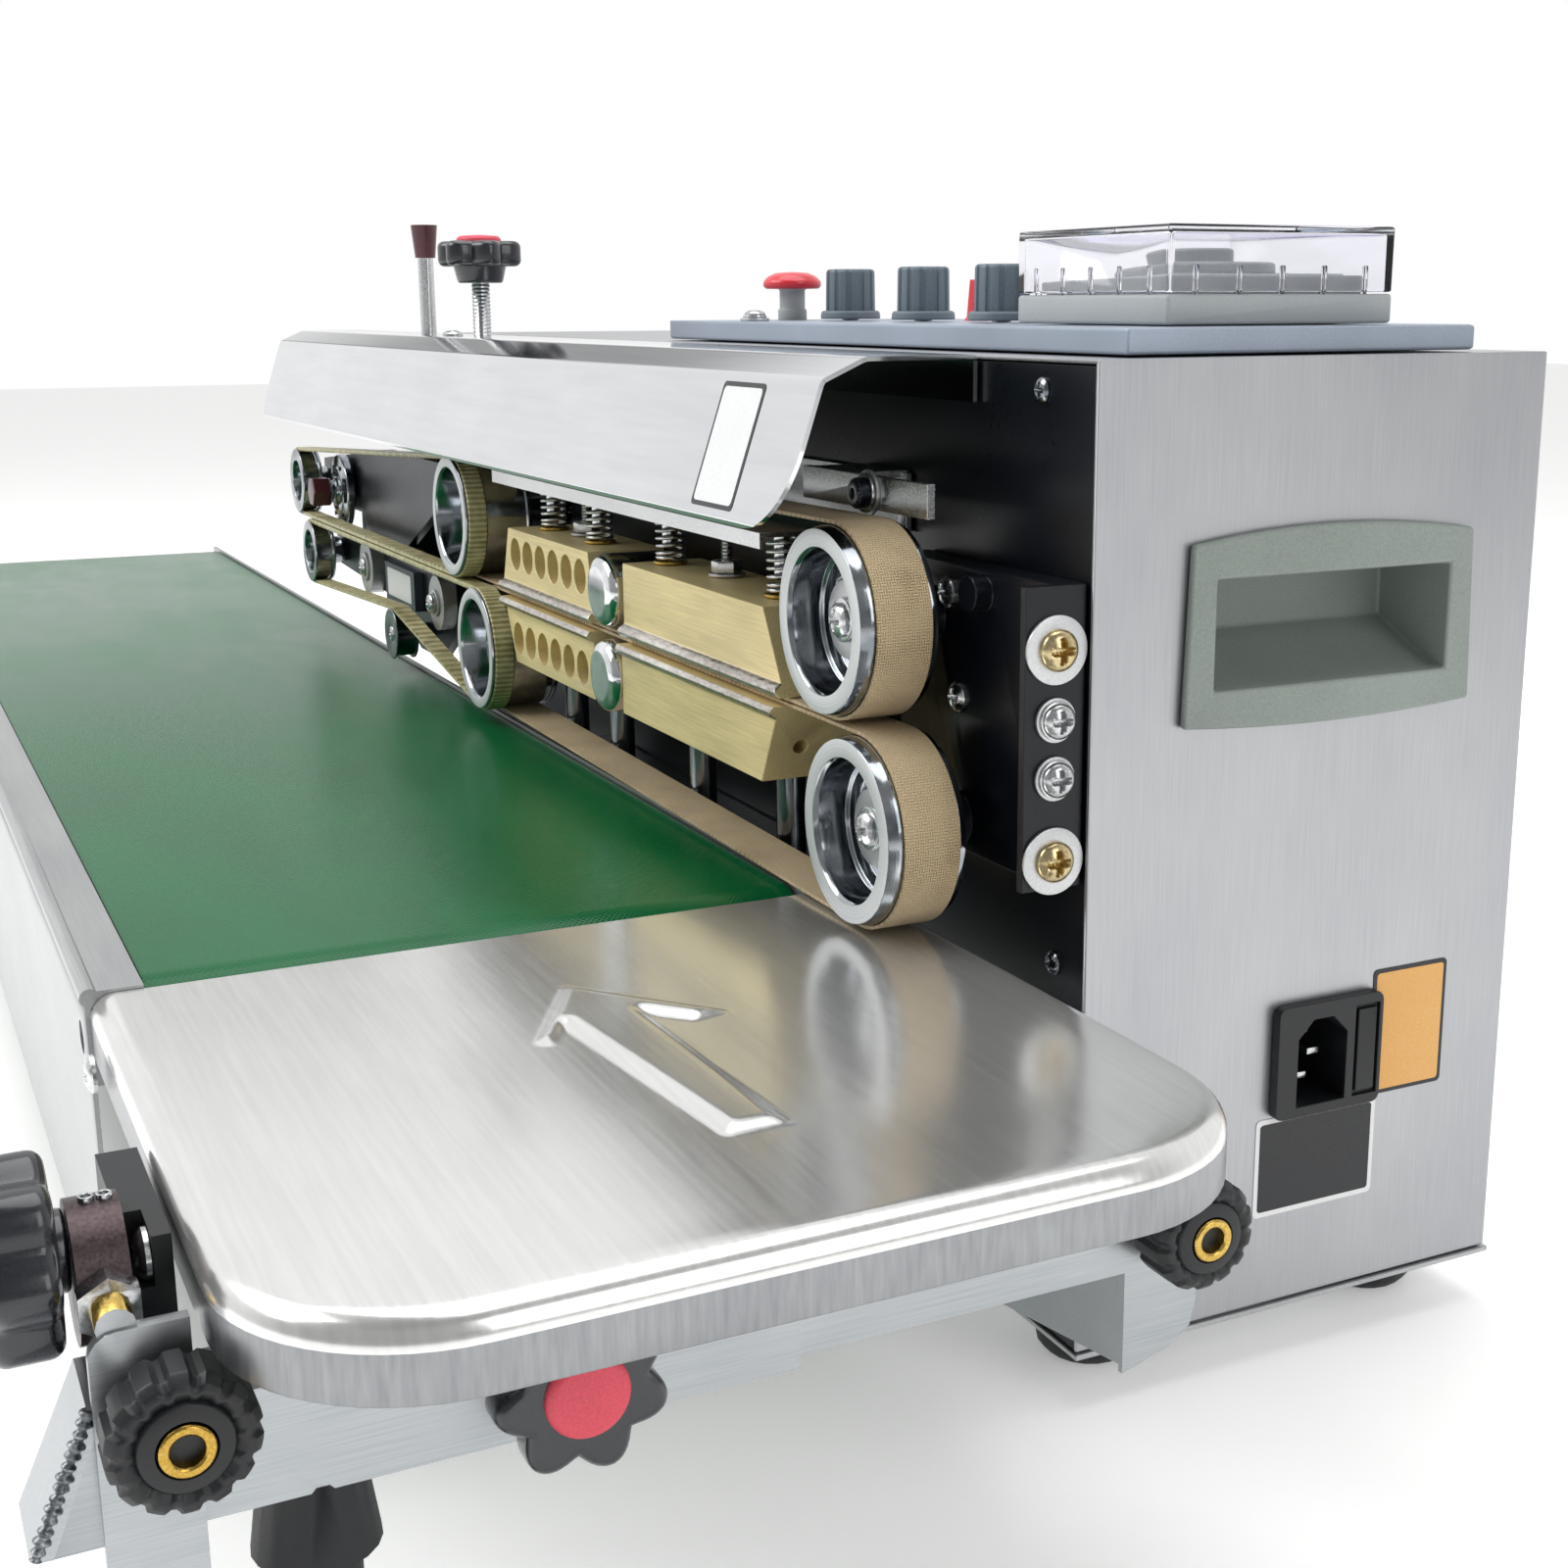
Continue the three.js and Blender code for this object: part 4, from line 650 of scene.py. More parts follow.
def urethane_belt(name, low, high):
    """Cast polyurethane timing belt: waxy, slightly see-through, with a 2 mm cross rib that darkens between
    teeth."""
    mat, tree, bsdf = start(name, **{"Subsurface Weight": 0.15, "Subsurface Scale": 0.002,
                                     "Coat Weight": 0.15})
    uv = add(tree, "UVMap", uv_map="Surface").outputs[0]
    run = add(tree, "SeparateXYZ", {0: uv}).outputs[0]
    wave = add(tree, "Math", {0: add(tree, "Math", {0: run, 1: TAU * 1000 / 2.03},
                                     operation="MULTIPLY").outputs[0]},
               operation="SINE").outputs[0]
    dirt = pattern(tree, (6, 6, 6), 3.0)
    mix = add(tree, "Math", {0: wave, 1: 0.2, 2: dirt}, operation="MULTIPLY_ADD").outputs[0]
    tree.links.new(shade(tree, mix, low, high, 0.25, 0.75), bsdf.inputs["Base Color"])
    tree.links.new(spread(tree, dirt, 0.3, 0.5), bsdf.inputs["Roughness"])
    bumped(tree, bsdf, wave, 0.12)
    return mat


def green_belt():
    """PVC conveyor belting: wet-looking dark green skin printed by a 1.1 mm diamond weave under it."""
    mat, tree, bsdf = start("pvc_belting_green", **{"Coat Weight": 0.06, "Coat Roughness": 0.12,
                                                    "Specular IOR Level": 0.18})
    part = add(tree, "SeparateXYZ", {0: add(tree, "TexCoord").outputs["Object"]})
    waves = []
    for socket in part.outputs[:2]:
        turned = add(tree, "Math", {0: socket, 1: TAU * 1000 / 1.6}, operation="MULTIPLY").outputs[0]
        waves.append(add(tree, "Math", {0: turned}, operation="SINE").outputs[0])
    weave = add(tree, "Math", {0: waves[0], 1: waves[1]}, operation="MULTIPLY").outputs[0]
    cloud = pattern(tree, (120, 50, 50), 3.0)
    tree.links.new(shade(tree, cloud, *tones("belt_green")), bsdf.inputs["Base Color"])
    tree.links.new(spread(tree, cloud, 0.16, 0.24), bsdf.inputs["Roughness"])
    bumped(tree, bsdf, weave, 0.03)
    return mat


def clear_cover():
    """Injection-moulded acrylic: clear, with a painted violet-blue glint: its base colour turns from near
    white to violet-blue where its faces turn edge-on.
    """
    mat, tree, bsdf = start("acrylic_moulded_clear", IOR=1.49, **{"Transmission Weight": 1.0})
    # painted glint: the facing ramp tints the base colour violet-blue on faces seen edge-on
    edge = add(tree, "LayerWeight", {0: 0.35}).outputs["Facing"]
    haze = pattern(tree, (8, 8, 8), 2.0)
    tree.links.new(shade(tree, edge, "#fbfbff", "#6a68f0", 0.5, 0.92), bsdf.inputs["Base Color"])
    tree.links.new(spread(tree, haze, 0.02, 0.06), bsdf.inputs["Roughness"])
    return mat


def pale_floor():
    """Matt painted board: pale and even, with a trace of roller texture; its own faint light keeps it
    white."""
    return worked("board_painted_pale", ("#f4f4f3", "#f8f8f7"), (0.7, 0.8), (6, 6, 6), bump=0.01,
                  **{"Emission Color": (1.0, 1.0, 1.0, 1.0), "Emission Strength": 0.28})


SPECIAL = {
    "chrome_turned": lambda: turned_metal("chrome_turned", "#787e84", "#bcc0c4", (0.06, 0.2)),
    "chrome_polished": lambda: turned_metal("chrome_polished", "#c4c7ca", "#eceeef", (0.03, 0.09),
                                            bump=0.002),
    "steel_turned_dark": lambda: turned_metal("steel_turned_dark", "#3c4248", "#8c9298", (0.14, 0.3)),
    "aluminium_faced": lambda: worked("aluminium_faced", ("#c2c5c7", "#dcdedf"), (0.38, 0.52),
                                      (0.35, 400, 400),
                                      bump=0.012, metallic=0.55, uv=True),
    "ptfe_glass_cloth": woven_band,
    "urethane_pale": lambda: urethane_belt("urethane_pale", "#968f62", "#dcd6aa"),
    "pvc_belting_green": green_belt,
    "acrylic_clear": clear_cover,
    "board_pale": pale_floor,
}
made = {}


def material(key):
    """The finish of that name, made once."""
    if key not in made:
        made[key] = SPECIAL[key]() if key in SPECIAL else worked(key, **PLAIN[key])
    return made[key]


# ---- stage
def build_stage(size):
    """Pale floor, a soft world that is bright behind the machine and dimmer behind the camera, a grey flag
    in it that the hood's top fold mirrors, and three softboxes."""
    scene = bpy.context.scene
    scene.view_settings.view_transform = "Standard"
    half = size.floor_size / 2 / MM
    q = np.linspace(-half, half, 9)
    pts = np.stack([*np.meshgrid(q, q, indexing="ij"), np.full((9, 9), -0.4)], -1)
    verts, quads, _ = grid(pts)
    mesh = bpy.data.meshes.new("stage_floor")
    mesh.from_pydata(verts * MM, [], quads)
    mesh.materials.append(material("board_pale"))
    floor = bpy.data.objects.new("stage_floor", mesh)
    scene.collection.objects.link(floor)

    turn, tilt, roll = size.camera_turn, size.camera_tilt, size.camera_roll
    ahead = Vector((-math.cos(tilt) * math.sin(turn), math.cos(tilt) * math.cos(turn), -math.sin(tilt)))
    right = Vector((math.cos(turn), math.sin(turn), 0))
    up = right.cross(ahead)
    frame_axes = Matrix((right, up, -ahead)).transposed() @ Matrix.Rotation(roll, 3, "Z")
    cam = bpy.data.objects.new("Camera", bpy.data.cameras.new("Camera"))
    scene.collection.objects.link(cam)
    stand = Vector((CASE_HIGH.x, CASE_LOW.y, CASE_HIGH.z)) + Vector(size.camera_from_corner)
    cam.matrix_world = Matrix.Translation(stand) @ frame_axes.to_4x4()
    cam.data.sensor_width = 36
    cam.data.lens = size.lens
    cam.data.shift_x = size.shift_x
    cam.data.clip_start, cam.data.clip_end = 0.02, 60
    scene.camera = cam

    world = bpy.data.worlds.new("Studio")
    scene.world = world
    world.use_nodes = True
    tree = world.node_tree
    tree.nodes.clear()
    direction = add(tree, "TexCoord").outputs["Generated"]
    facing = add(tree, "VectorMath", {0: direction, 1: ahead}, operation="DOT_PRODUCT").outputs["Value"]
    shade_ = add(tree, "MapRange", {0: facing, 1: -0.75, 2: 0.25, 3: 0.34, 4: size.world_light},
                 interpolation_type="SMOOTHSTEP").outputs[0]
    lift = add(tree, "SeparateXYZ", {0: direction}).outputs[2]
    dim = add(tree, "MapRange", {0: lift, 1: 0.62, 2: 0.95, 3: 1.0, 4: 0.6},
              interpolation_type="SMOOTHSTEP").outputs[0]
    level = add(tree, "Math", {0: shade_, 1: dim}, operation="MULTIPLY").outputs[0]
    side = add(tree, "SeparateXYZ", {0: direction}).outputs[1]

    def between(socket, low, high, soft):
        rise = add(tree, "MapRange", {0: socket, 1: low - soft, 2: low + soft, 3: 0.0, 4: 1.0}).outputs[0]
        fall = add(tree, "MapRange", {0: socket, 1: high - soft, 2: high + soft, 3: 1.0, 4: 0.0}).outputs[0]
        return add(tree, "Math", {0: rise, 1: fall}, operation="MULTIPLY").outputs[0]

    flag = add(tree, "Math", {0: between(lift, 0.17, 0.32, 0.03), 1: between(side, 0.02, 0.35, 0.05)},
               operation="MULTIPLY").outputs[0]
    shadow = add(tree, "Math", {0: flag, 1: -size.flag_depth, 2: 1.0}, operation="MULTIPLY_ADD").outputs[0]
    both = add(tree, "Math", {0: level, 1: shadow}, operation="MULTIPLY").outputs[0]
    back = add(tree, "Background", {"Color": (1, 1, 1, 1), "Strength": both})
    add(tree, "OutputWorld", {"Surface": back.outputs[0]})

    middle = Vector(((CAD_BOX[0].x + CAD_BOX[1].x) / 2 + 0.2, 0.0, 0.15))
    for name, at, wide, tall, watts in (
        ("Key", (-0.35, -1.5, 1.7), 1.6, 1.2, size.key_light),
        ("Top", (0.1, 0.2, 1.9), 1.8, 1.2, size.key_light * 0.7),
        ("Side", (1.9, 0.5, 0.9), 0.7, 1.2, size.key_light * 0.28),
    ):
        lamp = bpy.data.lights.new(name, "AREA")
        lamp.shape = "RECTANGLE"
        lamp.size, lamp.size_y, lamp.energy = wide, tall, watts
        obj = bpy.data.objects.new(name, lamp)
        scene.collection.objects.link(obj)
        obj.location = at
        obj.rotation_euler = (middle - Vector(at)).to_track_quat("-Z", "Y").to_euler()


# ---- frame nodes that keep their shape: finish, material slot, edge radius in mm
KEPT = {
    "casing_shell": ("stainless_brushed_upright", "stainless_brushed", 1.0),
    "base_panel": ("stainless_brushed_along", "stainless_brushed", 0.4),
    "front_panel": ("enamel_black", "black_panel", 0.3),
    "foot_front_right": ("rubber_moulded", "black_rubber", 0.8),
    "foot_front_left": ("rubber_moulded", "black_rubber", 0.8),
    "foot_rear_right": ("rubber_moulded", "black_rubber", 0.8),
    "foot_rear_left": ("rubber_moulded", "black_rubber", 0.8),
    "side_handle_right": ("abs_handle_grey", "grey_plastic", 1.0),
    "side_handle_left": ("abs_handle_grey", "grey_plastic", 1.0),
    "power_inlet": ("nylon_black", "black_plastic", 0.35),
    "control_panel": ("anodised_blue_grey", "panel_aluminium", 1.0),
    "thermostat_cover": ("acrylic_clear", "clear_cover", 0.8),
    "end_bracket": ("enamel_black", "black_panel", 0.4),
    "spring_bracket": ("zinc_bright", "spring_steel", 0.3),
    "post_rail": ("steel_burnished", "chrome_wheels", 0.3),
    "pulley_carrier": ("steel_oxidised", "carrier_paint", 0.3),
    "drive_motor": ("motor_enamel", "motor_paint", 0.5),
    "heater_block_lower": ("brass_brushed", "jaw_brass", 0.4),
    "cooling_block_lower": ("brass_brushed", "jaw_brass", 0.4),
    "heater_block_upper": ("brass_brushed", "jaw_brass", 0.4),
    "cooling_block_upper": ("brass_brushed", "jaw_brass", 0.4),
    "toggle_lever": ("pvc_red", "red_plastic", 0.8),
    "conveyor_frame": ("stainless_brushed_along", "stainless_brushed", 0.4),
    "conveyor_belt": ("pvc_belting_green", "belt_green", 0.3),
    "drive_roller": ("steel_burnished", "chrome_wheels", 0.3),
    "tail_roller": ("steel_burnished", "chrome_wheels", 0.3),
    "arm_outer_right": ("stainless_brushed_across", "stainless_brushed", 0.5),
    "arm_outer_left": ("stainless_brushed_across", "stainless_brushed", 0.5),
    "arm_inner_right": ("stainless_brushed_across", "stainless_brushed", 0.4),
    "arm_inner_left": ("stainless_brushed_across", "stainless_brushed", 0.4),
    "leg_right": ("rubber_moulded", "black_rubber", 0.6),
    "leg_left": ("rubber_moulded", "black_rubber", 0.6),
}

LIP = [("silver_lip", (-400, -45, NIP - 6), (-80, -38, NIP + 6))]
FAR = -CASE_L
# parts of a frame node that have their own finish
ZONES = {
    "heater_block_upper": LIP, "heater_block_lower": LIP, "cooling_block_upper": LIP,
    "cooling_block_lower": LIP,
    "pulley_carrier": [("zinc_bright", (FAR + 49, -29, NIP + 43), (FAR + 61, -15, TOP + 33.4)),
                       ("fibre_maroon", (FAR + 48, -29, TOP + 33.5), (FAR + 62, -15, TOP + 50)),
                       ("zinc_washer", (FAR - 44, -37, NIP - 32), (FAR - 16, -30.2, NIP - 4)),
                       ("zinc_washer", (FAR + 83, -37, NIP - 33), (FAR + 109, -30.2, NIP - 7)),
                       ("motor_enamel", (FAR - 1, -35, NIP - 30), (FAR + 53, -30.2, NIP - 11))],
    "spring_bracket": [("steel_oxidised", (-85, -25, TOP - 42), (-75, -19.6, TOP - 31))],
    "power_inlet": [("zinc_bright", (-17.5, 70, 77), (-4, 81, 94))],
    "arm_outer_right": [("rubber_moulded", (36, -222, 50), (64, -190, 68.6)),
                        ("nylon_black", (1, -237, 103), (47, -228, 121)),
                        ("steel_phosphated", (21, -246, 97), (49, -235.8, 126)),
                        ("zinc_bright", (48.9, -248, 104), (53.9, -234, 119)),
                        ("brass_turned", (54, -245, 107), (59, -236, 116))],
    "arm_outer_left": [("rubber_moulded", (FAR - 64, -222, 50), (FAR - 36, -190, 68.6))],
}


# ---- places read from the frame
def span(node):
    """Lowest and highest corner of a frame node, machine mm."""
    low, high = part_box(node)
    return (np.array(low) - CORNER) / MM, (np.array(high) - CORNER) / MM


def centre(node):
    """Middle of a frame node's box, machine mm."""
    low, high = span(node)
    return (low + high) / 2


def lobes(count, outer, inner, power=0.6, per=14, at=(0, 0), turn=0.0):
    """A wavy outline: the radius follows a raised cosine between inner and outer; turn places the first
    lobe."""
    a = ring(count * per)
    r = inner + (outer - inner) * ((1 + np.cos(a * count)) / 2) ** power
    return np.stack([at[0] + r * np.cos(a + turn), at[1] + r * np.sin(a + turn)], -1)


def thread(radius, low, high, pitch=1.0, depth=0.45):
    """Profile of a threaded rod: the radius zigzags by depth once every pitch."""
    n = max(2, int(round((high - low) / pitch)))
    h = np.linspace(low, high, 2 * n + 1)
    r = np.where(np.arange(2 * n + 1) % 2 == 0, radius - depth, radius)
    return np.vstack([[(0, low)], np.stack([r, h], -1), [(0, high)]])


def spin(points, radius=0.4, steps=3):
    """A lathe profile with its corners softened."""
    return soften(points, radius, steps)


# ---- sealing head
WHEEL_NAMES = ("upper", "lower")
IDLER_R, DRIVE_R = 26.2, 24.4  # wheels over their bands, mm
GUIDE_R = (17.4, 16.6)  # upper and lower guide pulley over their belts
BAND_THICK, BELT_THICK = 0.9, 2.0
JOCKEY_REACH = 12.5  # tension roller with the belt's back on it
GEAR_TEETH = 19
PULLEY_FRONT = -48.0
JAW_TOP = NIP + 25.5
CODER_AT = (-640.0, TOP - 79)
BAND_EDGES = (-38.8, -23.2)
BELT_FRONT = -46.8


def idler_wheels():
    """Each idler is one turned profile: stepped bore, dished web, faced ring and chamfered rim."""
    for name in WHEEL_NAMES:
        node = "idler_wheel_" + name
        x, _, z = centre(node)
        low, high = span(node)
        f, rim = low[1], (high[0] - low[0]) / 2 - 0.3
        body = spin([(4.4, -17.7), (4.4, -33.3), (8.4, -33.3), (8.8, -32.2), (12.6, -31.9), (13.0, -30.6),
                     (16.4, -30.4),
                     (16.9, -33.2), (18.3, -33.6), (18.7, f + 1.2), (19.5, f + 0.1), (24.3, f + 0.1),
                     (rim, f + 3.2),
                     (rim, -23.2), (rim + 0.3, -22.8), (rim + 0.3, -21), (9, -19.4), (9, -17.7),
                     (4.4, -17.7)], 0.3)
        face = soft_loop([(19.5, f), (24.2, f), (24.2, f + 0.6), (19.5, f + 0.6)], 0.15, 2)
        race = spin([(4.7, -33.0), (4.7, -33.7), (5.9, -33.7), (6.2, -33.4), (7.6, -33.4), (7.9, -33.7),
                     (8.3, -33.7),
                     (8.3, -33.0), (4.7, -33.0)], 0.1, 2)
        at = (x, 0, z)
        piece("idler_" + name, "idler_" + name, [lathe(body, at, "y", 72), lathe(face, at, "y", 72),
                                                 lathe(race, at, "y", 48)],
              ["chrome_turned", "aluminium_faced", "steel_turned_dark"], (node,), angle=30)
        shells = [washer((x, -34.1, z), 3.6, 10.4, 0.9, edge=0.3),
                  washer((x, -35.1, z), 3.0, 5.9, 1.2, edge=0.35),
                  cross_head((x, -36.4, z), 4.6, 2.6)]
        piece("idler_axle_screw_" + name, "casing", shells, ["zinc_washer", "zinc_bright", "zinc_bright"])


def sealing_bands():
    """A thin flat band: a rectangle section carried round its two wheels."""
    for i, name in enumerate(WHEEL_NAMES):
        ix, _, iz = centre("idler_wheel_" + name)
        dx, _, dz = centre("drive_wheel_" + name)
        wheels = [(dx, dz, DRIVE_R - BAND_THICK, 1), (ix, iz, IDLER_R - BAND_THICK, 1)]
        y0, y1 = BAND_EDGES
        shell = band(wheels, [(0, y0), (0, y1), (BAND_THICK, y1), (BAND_THICK, y0)], pitch=2.0)
        piece("band_" + name, "casing", [shell], "ptfe_glass_cloth",
              ("sealing_band_" + name,), angle=50)


def gear_outline(x, z, phase, pitch_r, teeth=GEAR_TEETH):
    """A gear: four points a tooth, at root and tip, round the pitch circle."""
    module = 2 * pitch_r / teeth
    k = np.arange(teeth)[:, None]
    step = TAU / teeth
    a = phase + k * step + np.array([-0.24, -0.11, 0.11, 0.24])[None] * step
    r = pitch_r + np.array([-1.1, 0.75, 0.75, -1.1])[None] * module + 0 * a
    out = np.stack([x + r * np.cos(a), z + r * np.sin(a)], -1).reshape(-1, 2)
    return np.vstack([out, out[:1]])


def drive_wheels():
    """Each drive wheel is one turned cup with a toothed seat, a polished drum, a shaft and its gear."""
    (ux, _, uz), (lx, _, lz) = centre("drive_wheel_upper"), centre("drive_wheel_lower")
    base = math.atan2(lz - uz, lx - ux)
    pitch_r = math.hypot(lx - ux, lz - uz) / 2
    for i, name in enumerate(WHEEL_NAMES):
        x, z = (ux, uz) if i == 0 else (lx, lz)
        f = span("drive_wheel_" + name)[0][1]
        cup = spin([(0, -33.6), (7, -33.6), (7.6, -34.6), (15.2, -34.8), (17.2, -38), (18.9, f + 1.0),
                    (19.7, f + 0.1),
                    (23.2, f + 0.1), (23.8, f + 0.5), (23.8, f + 0.9), (22.1, f + 1.0), (22.1, f + 8.9),
                    (23.2, f + 9.0),
                    (23.2, -23), (23.8, -22.6), (23.8, -21), (6, -19), (6, 66), (0, 66)], 0.25)
        face = soft_loop([(19.6, f), (23.3, f), (23.3, f + 0.5), (19.6, f + 0.5)], 0.12, 2)
        at = (x, 0, z)
        phase = base if i == 0 else base + math.pi + math.pi / GEAR_TEETH
        shells = [lathe(cup, at, "y", 72), lathe(face, at, "y", 72),
                  prism(gear_outline(x, z, phase, pitch_r), "y", 12, 20, edge=0.3, steps=1),
                  cross_head((x, -34.9, z), 4.2, 2.2)]
        piece("drive_" + name, "drive_" + name, shells,
              ["chrome_turned", "aluminium_faced", "steel_burnished", "zinc_bright"],
              ("drive_wheel_" + name,), angle=30)


def guide_belts():
    """A toothed belt: the inner side of its section steps out between teeth, three millimetres apart."""
    def teeth(s):
        return 0.75 * np.clip(np.sin(s * TAU / 3.0) * 1.6 + 0.4, 0, 1)

    for i, name in enumerate(WHEEL_NAMES):
        dx, _, dz = centre("drive_wheel_" + name)
        px, _, pz = centre("guide_pulley_" + name)
        low, high = span("guide_belt_" + name)
        pulley = (px, pz, GUIDE_R[i] - BELT_THICK, 1)
        jx, _, jz = centre("tension_pulley")
        drive = (dx, dz, DRIVE_R - BELT_THICK, 1)
        wheels = [pulley, drive] if i == 0 else [pulley, (jx, jz, JOCKEY_REACH, -1), drive]
        y0, y1 = BELT_FRONT, BELT_FRONT + 7.4
        shell = band(wheels, [(0, y0), (0, y1), (1.7, y1), (BELT_THICK, y1 - 0.4), (BELT_THICK, y0 + 0.4),
                              (1.7, y0)],
                     0.6, teeth)
        piece("belt_" + name, "casing", [shell], "urethane_pale", ("guide_belt_" + name,),
              angle=35)


def press_wheels():
    """Each press wheel is one turned profile: a domed face, a rounded rim, a straight tread and its shaft."""
    for name in WHEEL_NAMES:
        x, _, z = centre("press_wheel_" + name)
        profile = spin([(0, -44.3), (8.6, -44.5), (10.9, -43.6), (12.0, -42.2), (12.3, -40.5), (12.3, -22),
                        (4, -20),
                        (4, -3), (0, -3)], 0.7, 4)
        piece("press_" + name, "press_" + name, [lathe(profile, (x, 0, z), "y", 64)], "chrome_polished",
              ("press_wheel_" + name,), angle=30)


def guide_pulleys():
    """Turned pulleys with a flange on each side of the belt seat and a screwed cover washer."""
    for i, name in enumerate(WHEEL_NAMES):
        x, _, z = centre("guide_pulley_" + name)
        f, rim = PULLEY_FRONT, GUIDE_R[i] - 2.3
        body = spin([(0, -40.6), (5, -40.6), (5.4, -41.6), (9, -41.6), (9.8, -43), (10.4, f + 0.3),
                     (11.2, f), (rim + 1, f),
                     (rim + 1.4, f + 0.3), (rim + 1.4, f + 0.8), (rim, f + 0.9), (rim, f + 8.9),
                     (rim + 1.2, f + 9),
                     (rim + 1.2, f + 10.3), (7, f + 10.9), (7, -32.4), (0, -32.4)], 0.25)
        shells = [lathe(body, (x, 0, z), "y", 56), washer((x, -41.6, z), 0.1, 5.4, 0.7),
                  cross_head((x, -42.3, z), 3.6, 2.0)]
        piece("pulley_" + name, "guide_" + name, shells, ["chrome_turned", "zinc_washer", "zinc_bright"],
              ("guide_pulley_" + name,), angle=30)
    x, _, z = centre("tension_pulley")
    f = PULLEY_FRONT
    body = spin([(0, f + 1.4), (3.2, f + 1.4), (3.5, f + 0.6), (11.1, f + 0.2), (11.5, f + 0.5),
                 (11.5, f + 0.8),
                 (10.2, f + 0.9), (10.2, f + 9), (11.5, f + 9.1), (11.5, f + 10), (3, f + 10.2), (3, -32.4),
                 (0, -32.4)], 0.2)
    piece("tension_roller", "tension_roll", [lathe(body, (x, 0, z), "y", 48),
                                             cross_head((x, f + 1.2, z), 3.4, 1.6)],
          ["steel_turned_dark", "zinc_bright"], ("tension_pulley",), angle=30)


def coder():
    """The coding wheel: a plain type disc, a stepped chrome hub and a six-sided maroon clamp block."""
    x, z = CODER_AT
    at = (x, 0, z)
    disc = spin([(0, -31.2), (17, -31.2), (18.4, -32), (18.4, -35.2), (17.8, -35.8), (12.6, -36.4),
                 (11.6, -36.9),
                 (7.4, -36.9), (7.0, -38.4), (5.6, -38.6), (5.6, -40.2), (6.6, -40.4), (6.6, -41.2),
                 (0, -41.2)], 0.25)
    nut = spin([(0, -40.9), (7.2, -40.9), (7.8, -41.6), (7.8, -49.4), (7.2, -50), (0, -50)], 0.3)
    shells = [lathe(disc, at, "y", 64), lathe(nut, at, "y", 48, squeeze=hexagon),
              lathe(spin([(0, -32), (4, -32), (4, -22), (0, -22)]), at, "y", 32)]
    shells += [lathe(spin([(0, 0), (1.1, 0), (1.1, -0.7), (0, -0.9)], 0.2), (x + 13.4 * math.cos(a), -36.3,
                     z + 13.4 * math.sin(a)), "y", 10) for a in np.linspace(0, TAU, 7)[:-1]]
    piece("coding_wheel", "coder", shells, ["chrome_turned", "fibre_maroon",
                                            "steel_burnished"] + ["steel_turned_dark"] * 6,
          ("coder_wheel",), angle=30)


SPRING_AT = {"cooling": (-322.0, -272.0), "heater": (-205.0, -118.0)}
JAW_BODY = {"cooling": "cooler_jaw", "heater": "heater_jaw"}
SHELF = TOP - 49.3


def springs():
    """Compression springs as a wire carried along a helix from just above the jaw's seat to just under the
    shelf, with brass cups under them on the jaws."""
    seat = JAW_TOP
    top = SHELF - 0.4
    for kind, xs in SPRING_AT.items():
        coils = [helix((x, -28), 4.3, 0.62, seat + 1.0, top, 9) for x in xs]
        obj = piece(kind + "_coils", "casing", coils, "zinc_bright", (kind + "_springs",),
                    angle=80)
        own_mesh(obj)
        jaw = JAW_BODY[kind]
        cups = [washer((x, -28, seat), 2.9, 5.6, 0.9, axis="z", facing=1, edge=0.3) for x in xs]
        piece(kind + "_spring_cups", jaw, cups, "brass_turned")


def hex_bolts():
    """Hexagon heads: a lathe whose radius is squeezed to flats, with a washer face under each."""
    seat = JAW_TOP
    for k, (x, jaw) in enumerate(((-297.0, "cooler_jaw"), (-168.0, "heater_jaw"))):
        head = spin([(0, seat + 1), (4.6, seat + 1), (4.9, seat + 1.3), (4.9, seat + 4.4),
                     (4.4, seat + 4.9), (0, seat + 4.9)], 0.3)
        shells = [lathe(head, (x, -24, 0), "z", 48, squeeze=hexagon),
                  washer((x, -24, seat), 1.2, 5.8, 0.9, "z", 1),
                  lathe(thread(1.9, seat + 4.6, seat + 12), (x, -24, 0), "z", 16)]
        piece(f"jaw_bolt_{k + 1}", jaw, shells, ["zinc_bright", "zinc_washer", "zinc_bright"])


SCREWS = [
    # x, y, z, head radius, dome, axis, facing, washer radius, finish
    (-2.4, -9.0, TOP - 68.6, 5.2, 3.4, "x", 1, 8.6, "zinc_yellow"),
    (-2.4, -9.0, TOP - 85.9, 4.4, 2.8, "x", 1, 5.6, "zinc_bright"),
    (-2.4, -9.0, TOP - 100.5, 4.4, 2.8, "x", 1, 5.6, "zinc_bright"),
    (-2.4, -9.0, TOP - 121.4, 5.2, 3.4, "x", 1, 8.6, "zinc_yellow"),
    (-25.0, 0.4, TOP - 8, 3.2, 1.8, "y", -1, 0, "steel_burnished"),
    (-15.0, 0.4, TOP - 153, 3.2, 1.8, "y", -1, 0, "steel_burnished"),
    (-55.0, -9.0, TOP - 61, 4.2, 2.6, "y", -1, 0, "zinc_bright"),
    (-49.0, -9.0, TOP - 88, 4.2, 2.6, "y", -1, 0, "zinc_bright"),
    (-243.0, 20.0, DECK, 3.6, 1.8, "z", 1, 5.0, "zinc_bright"),
    (-467.0, -22.0, TOP, 4.4, 2.4, "z", 1, 0, "zinc_bright"),
    (-464.0, -36.0, NIP - 19.8, 4.2, 2.4, "y", -1, 6.0, "zinc_bright"),
    (-590.0, -36.0, NIP - 17.8, 4.6, 2.4, "y", -1, 7.0, "zinc_bright"),
]


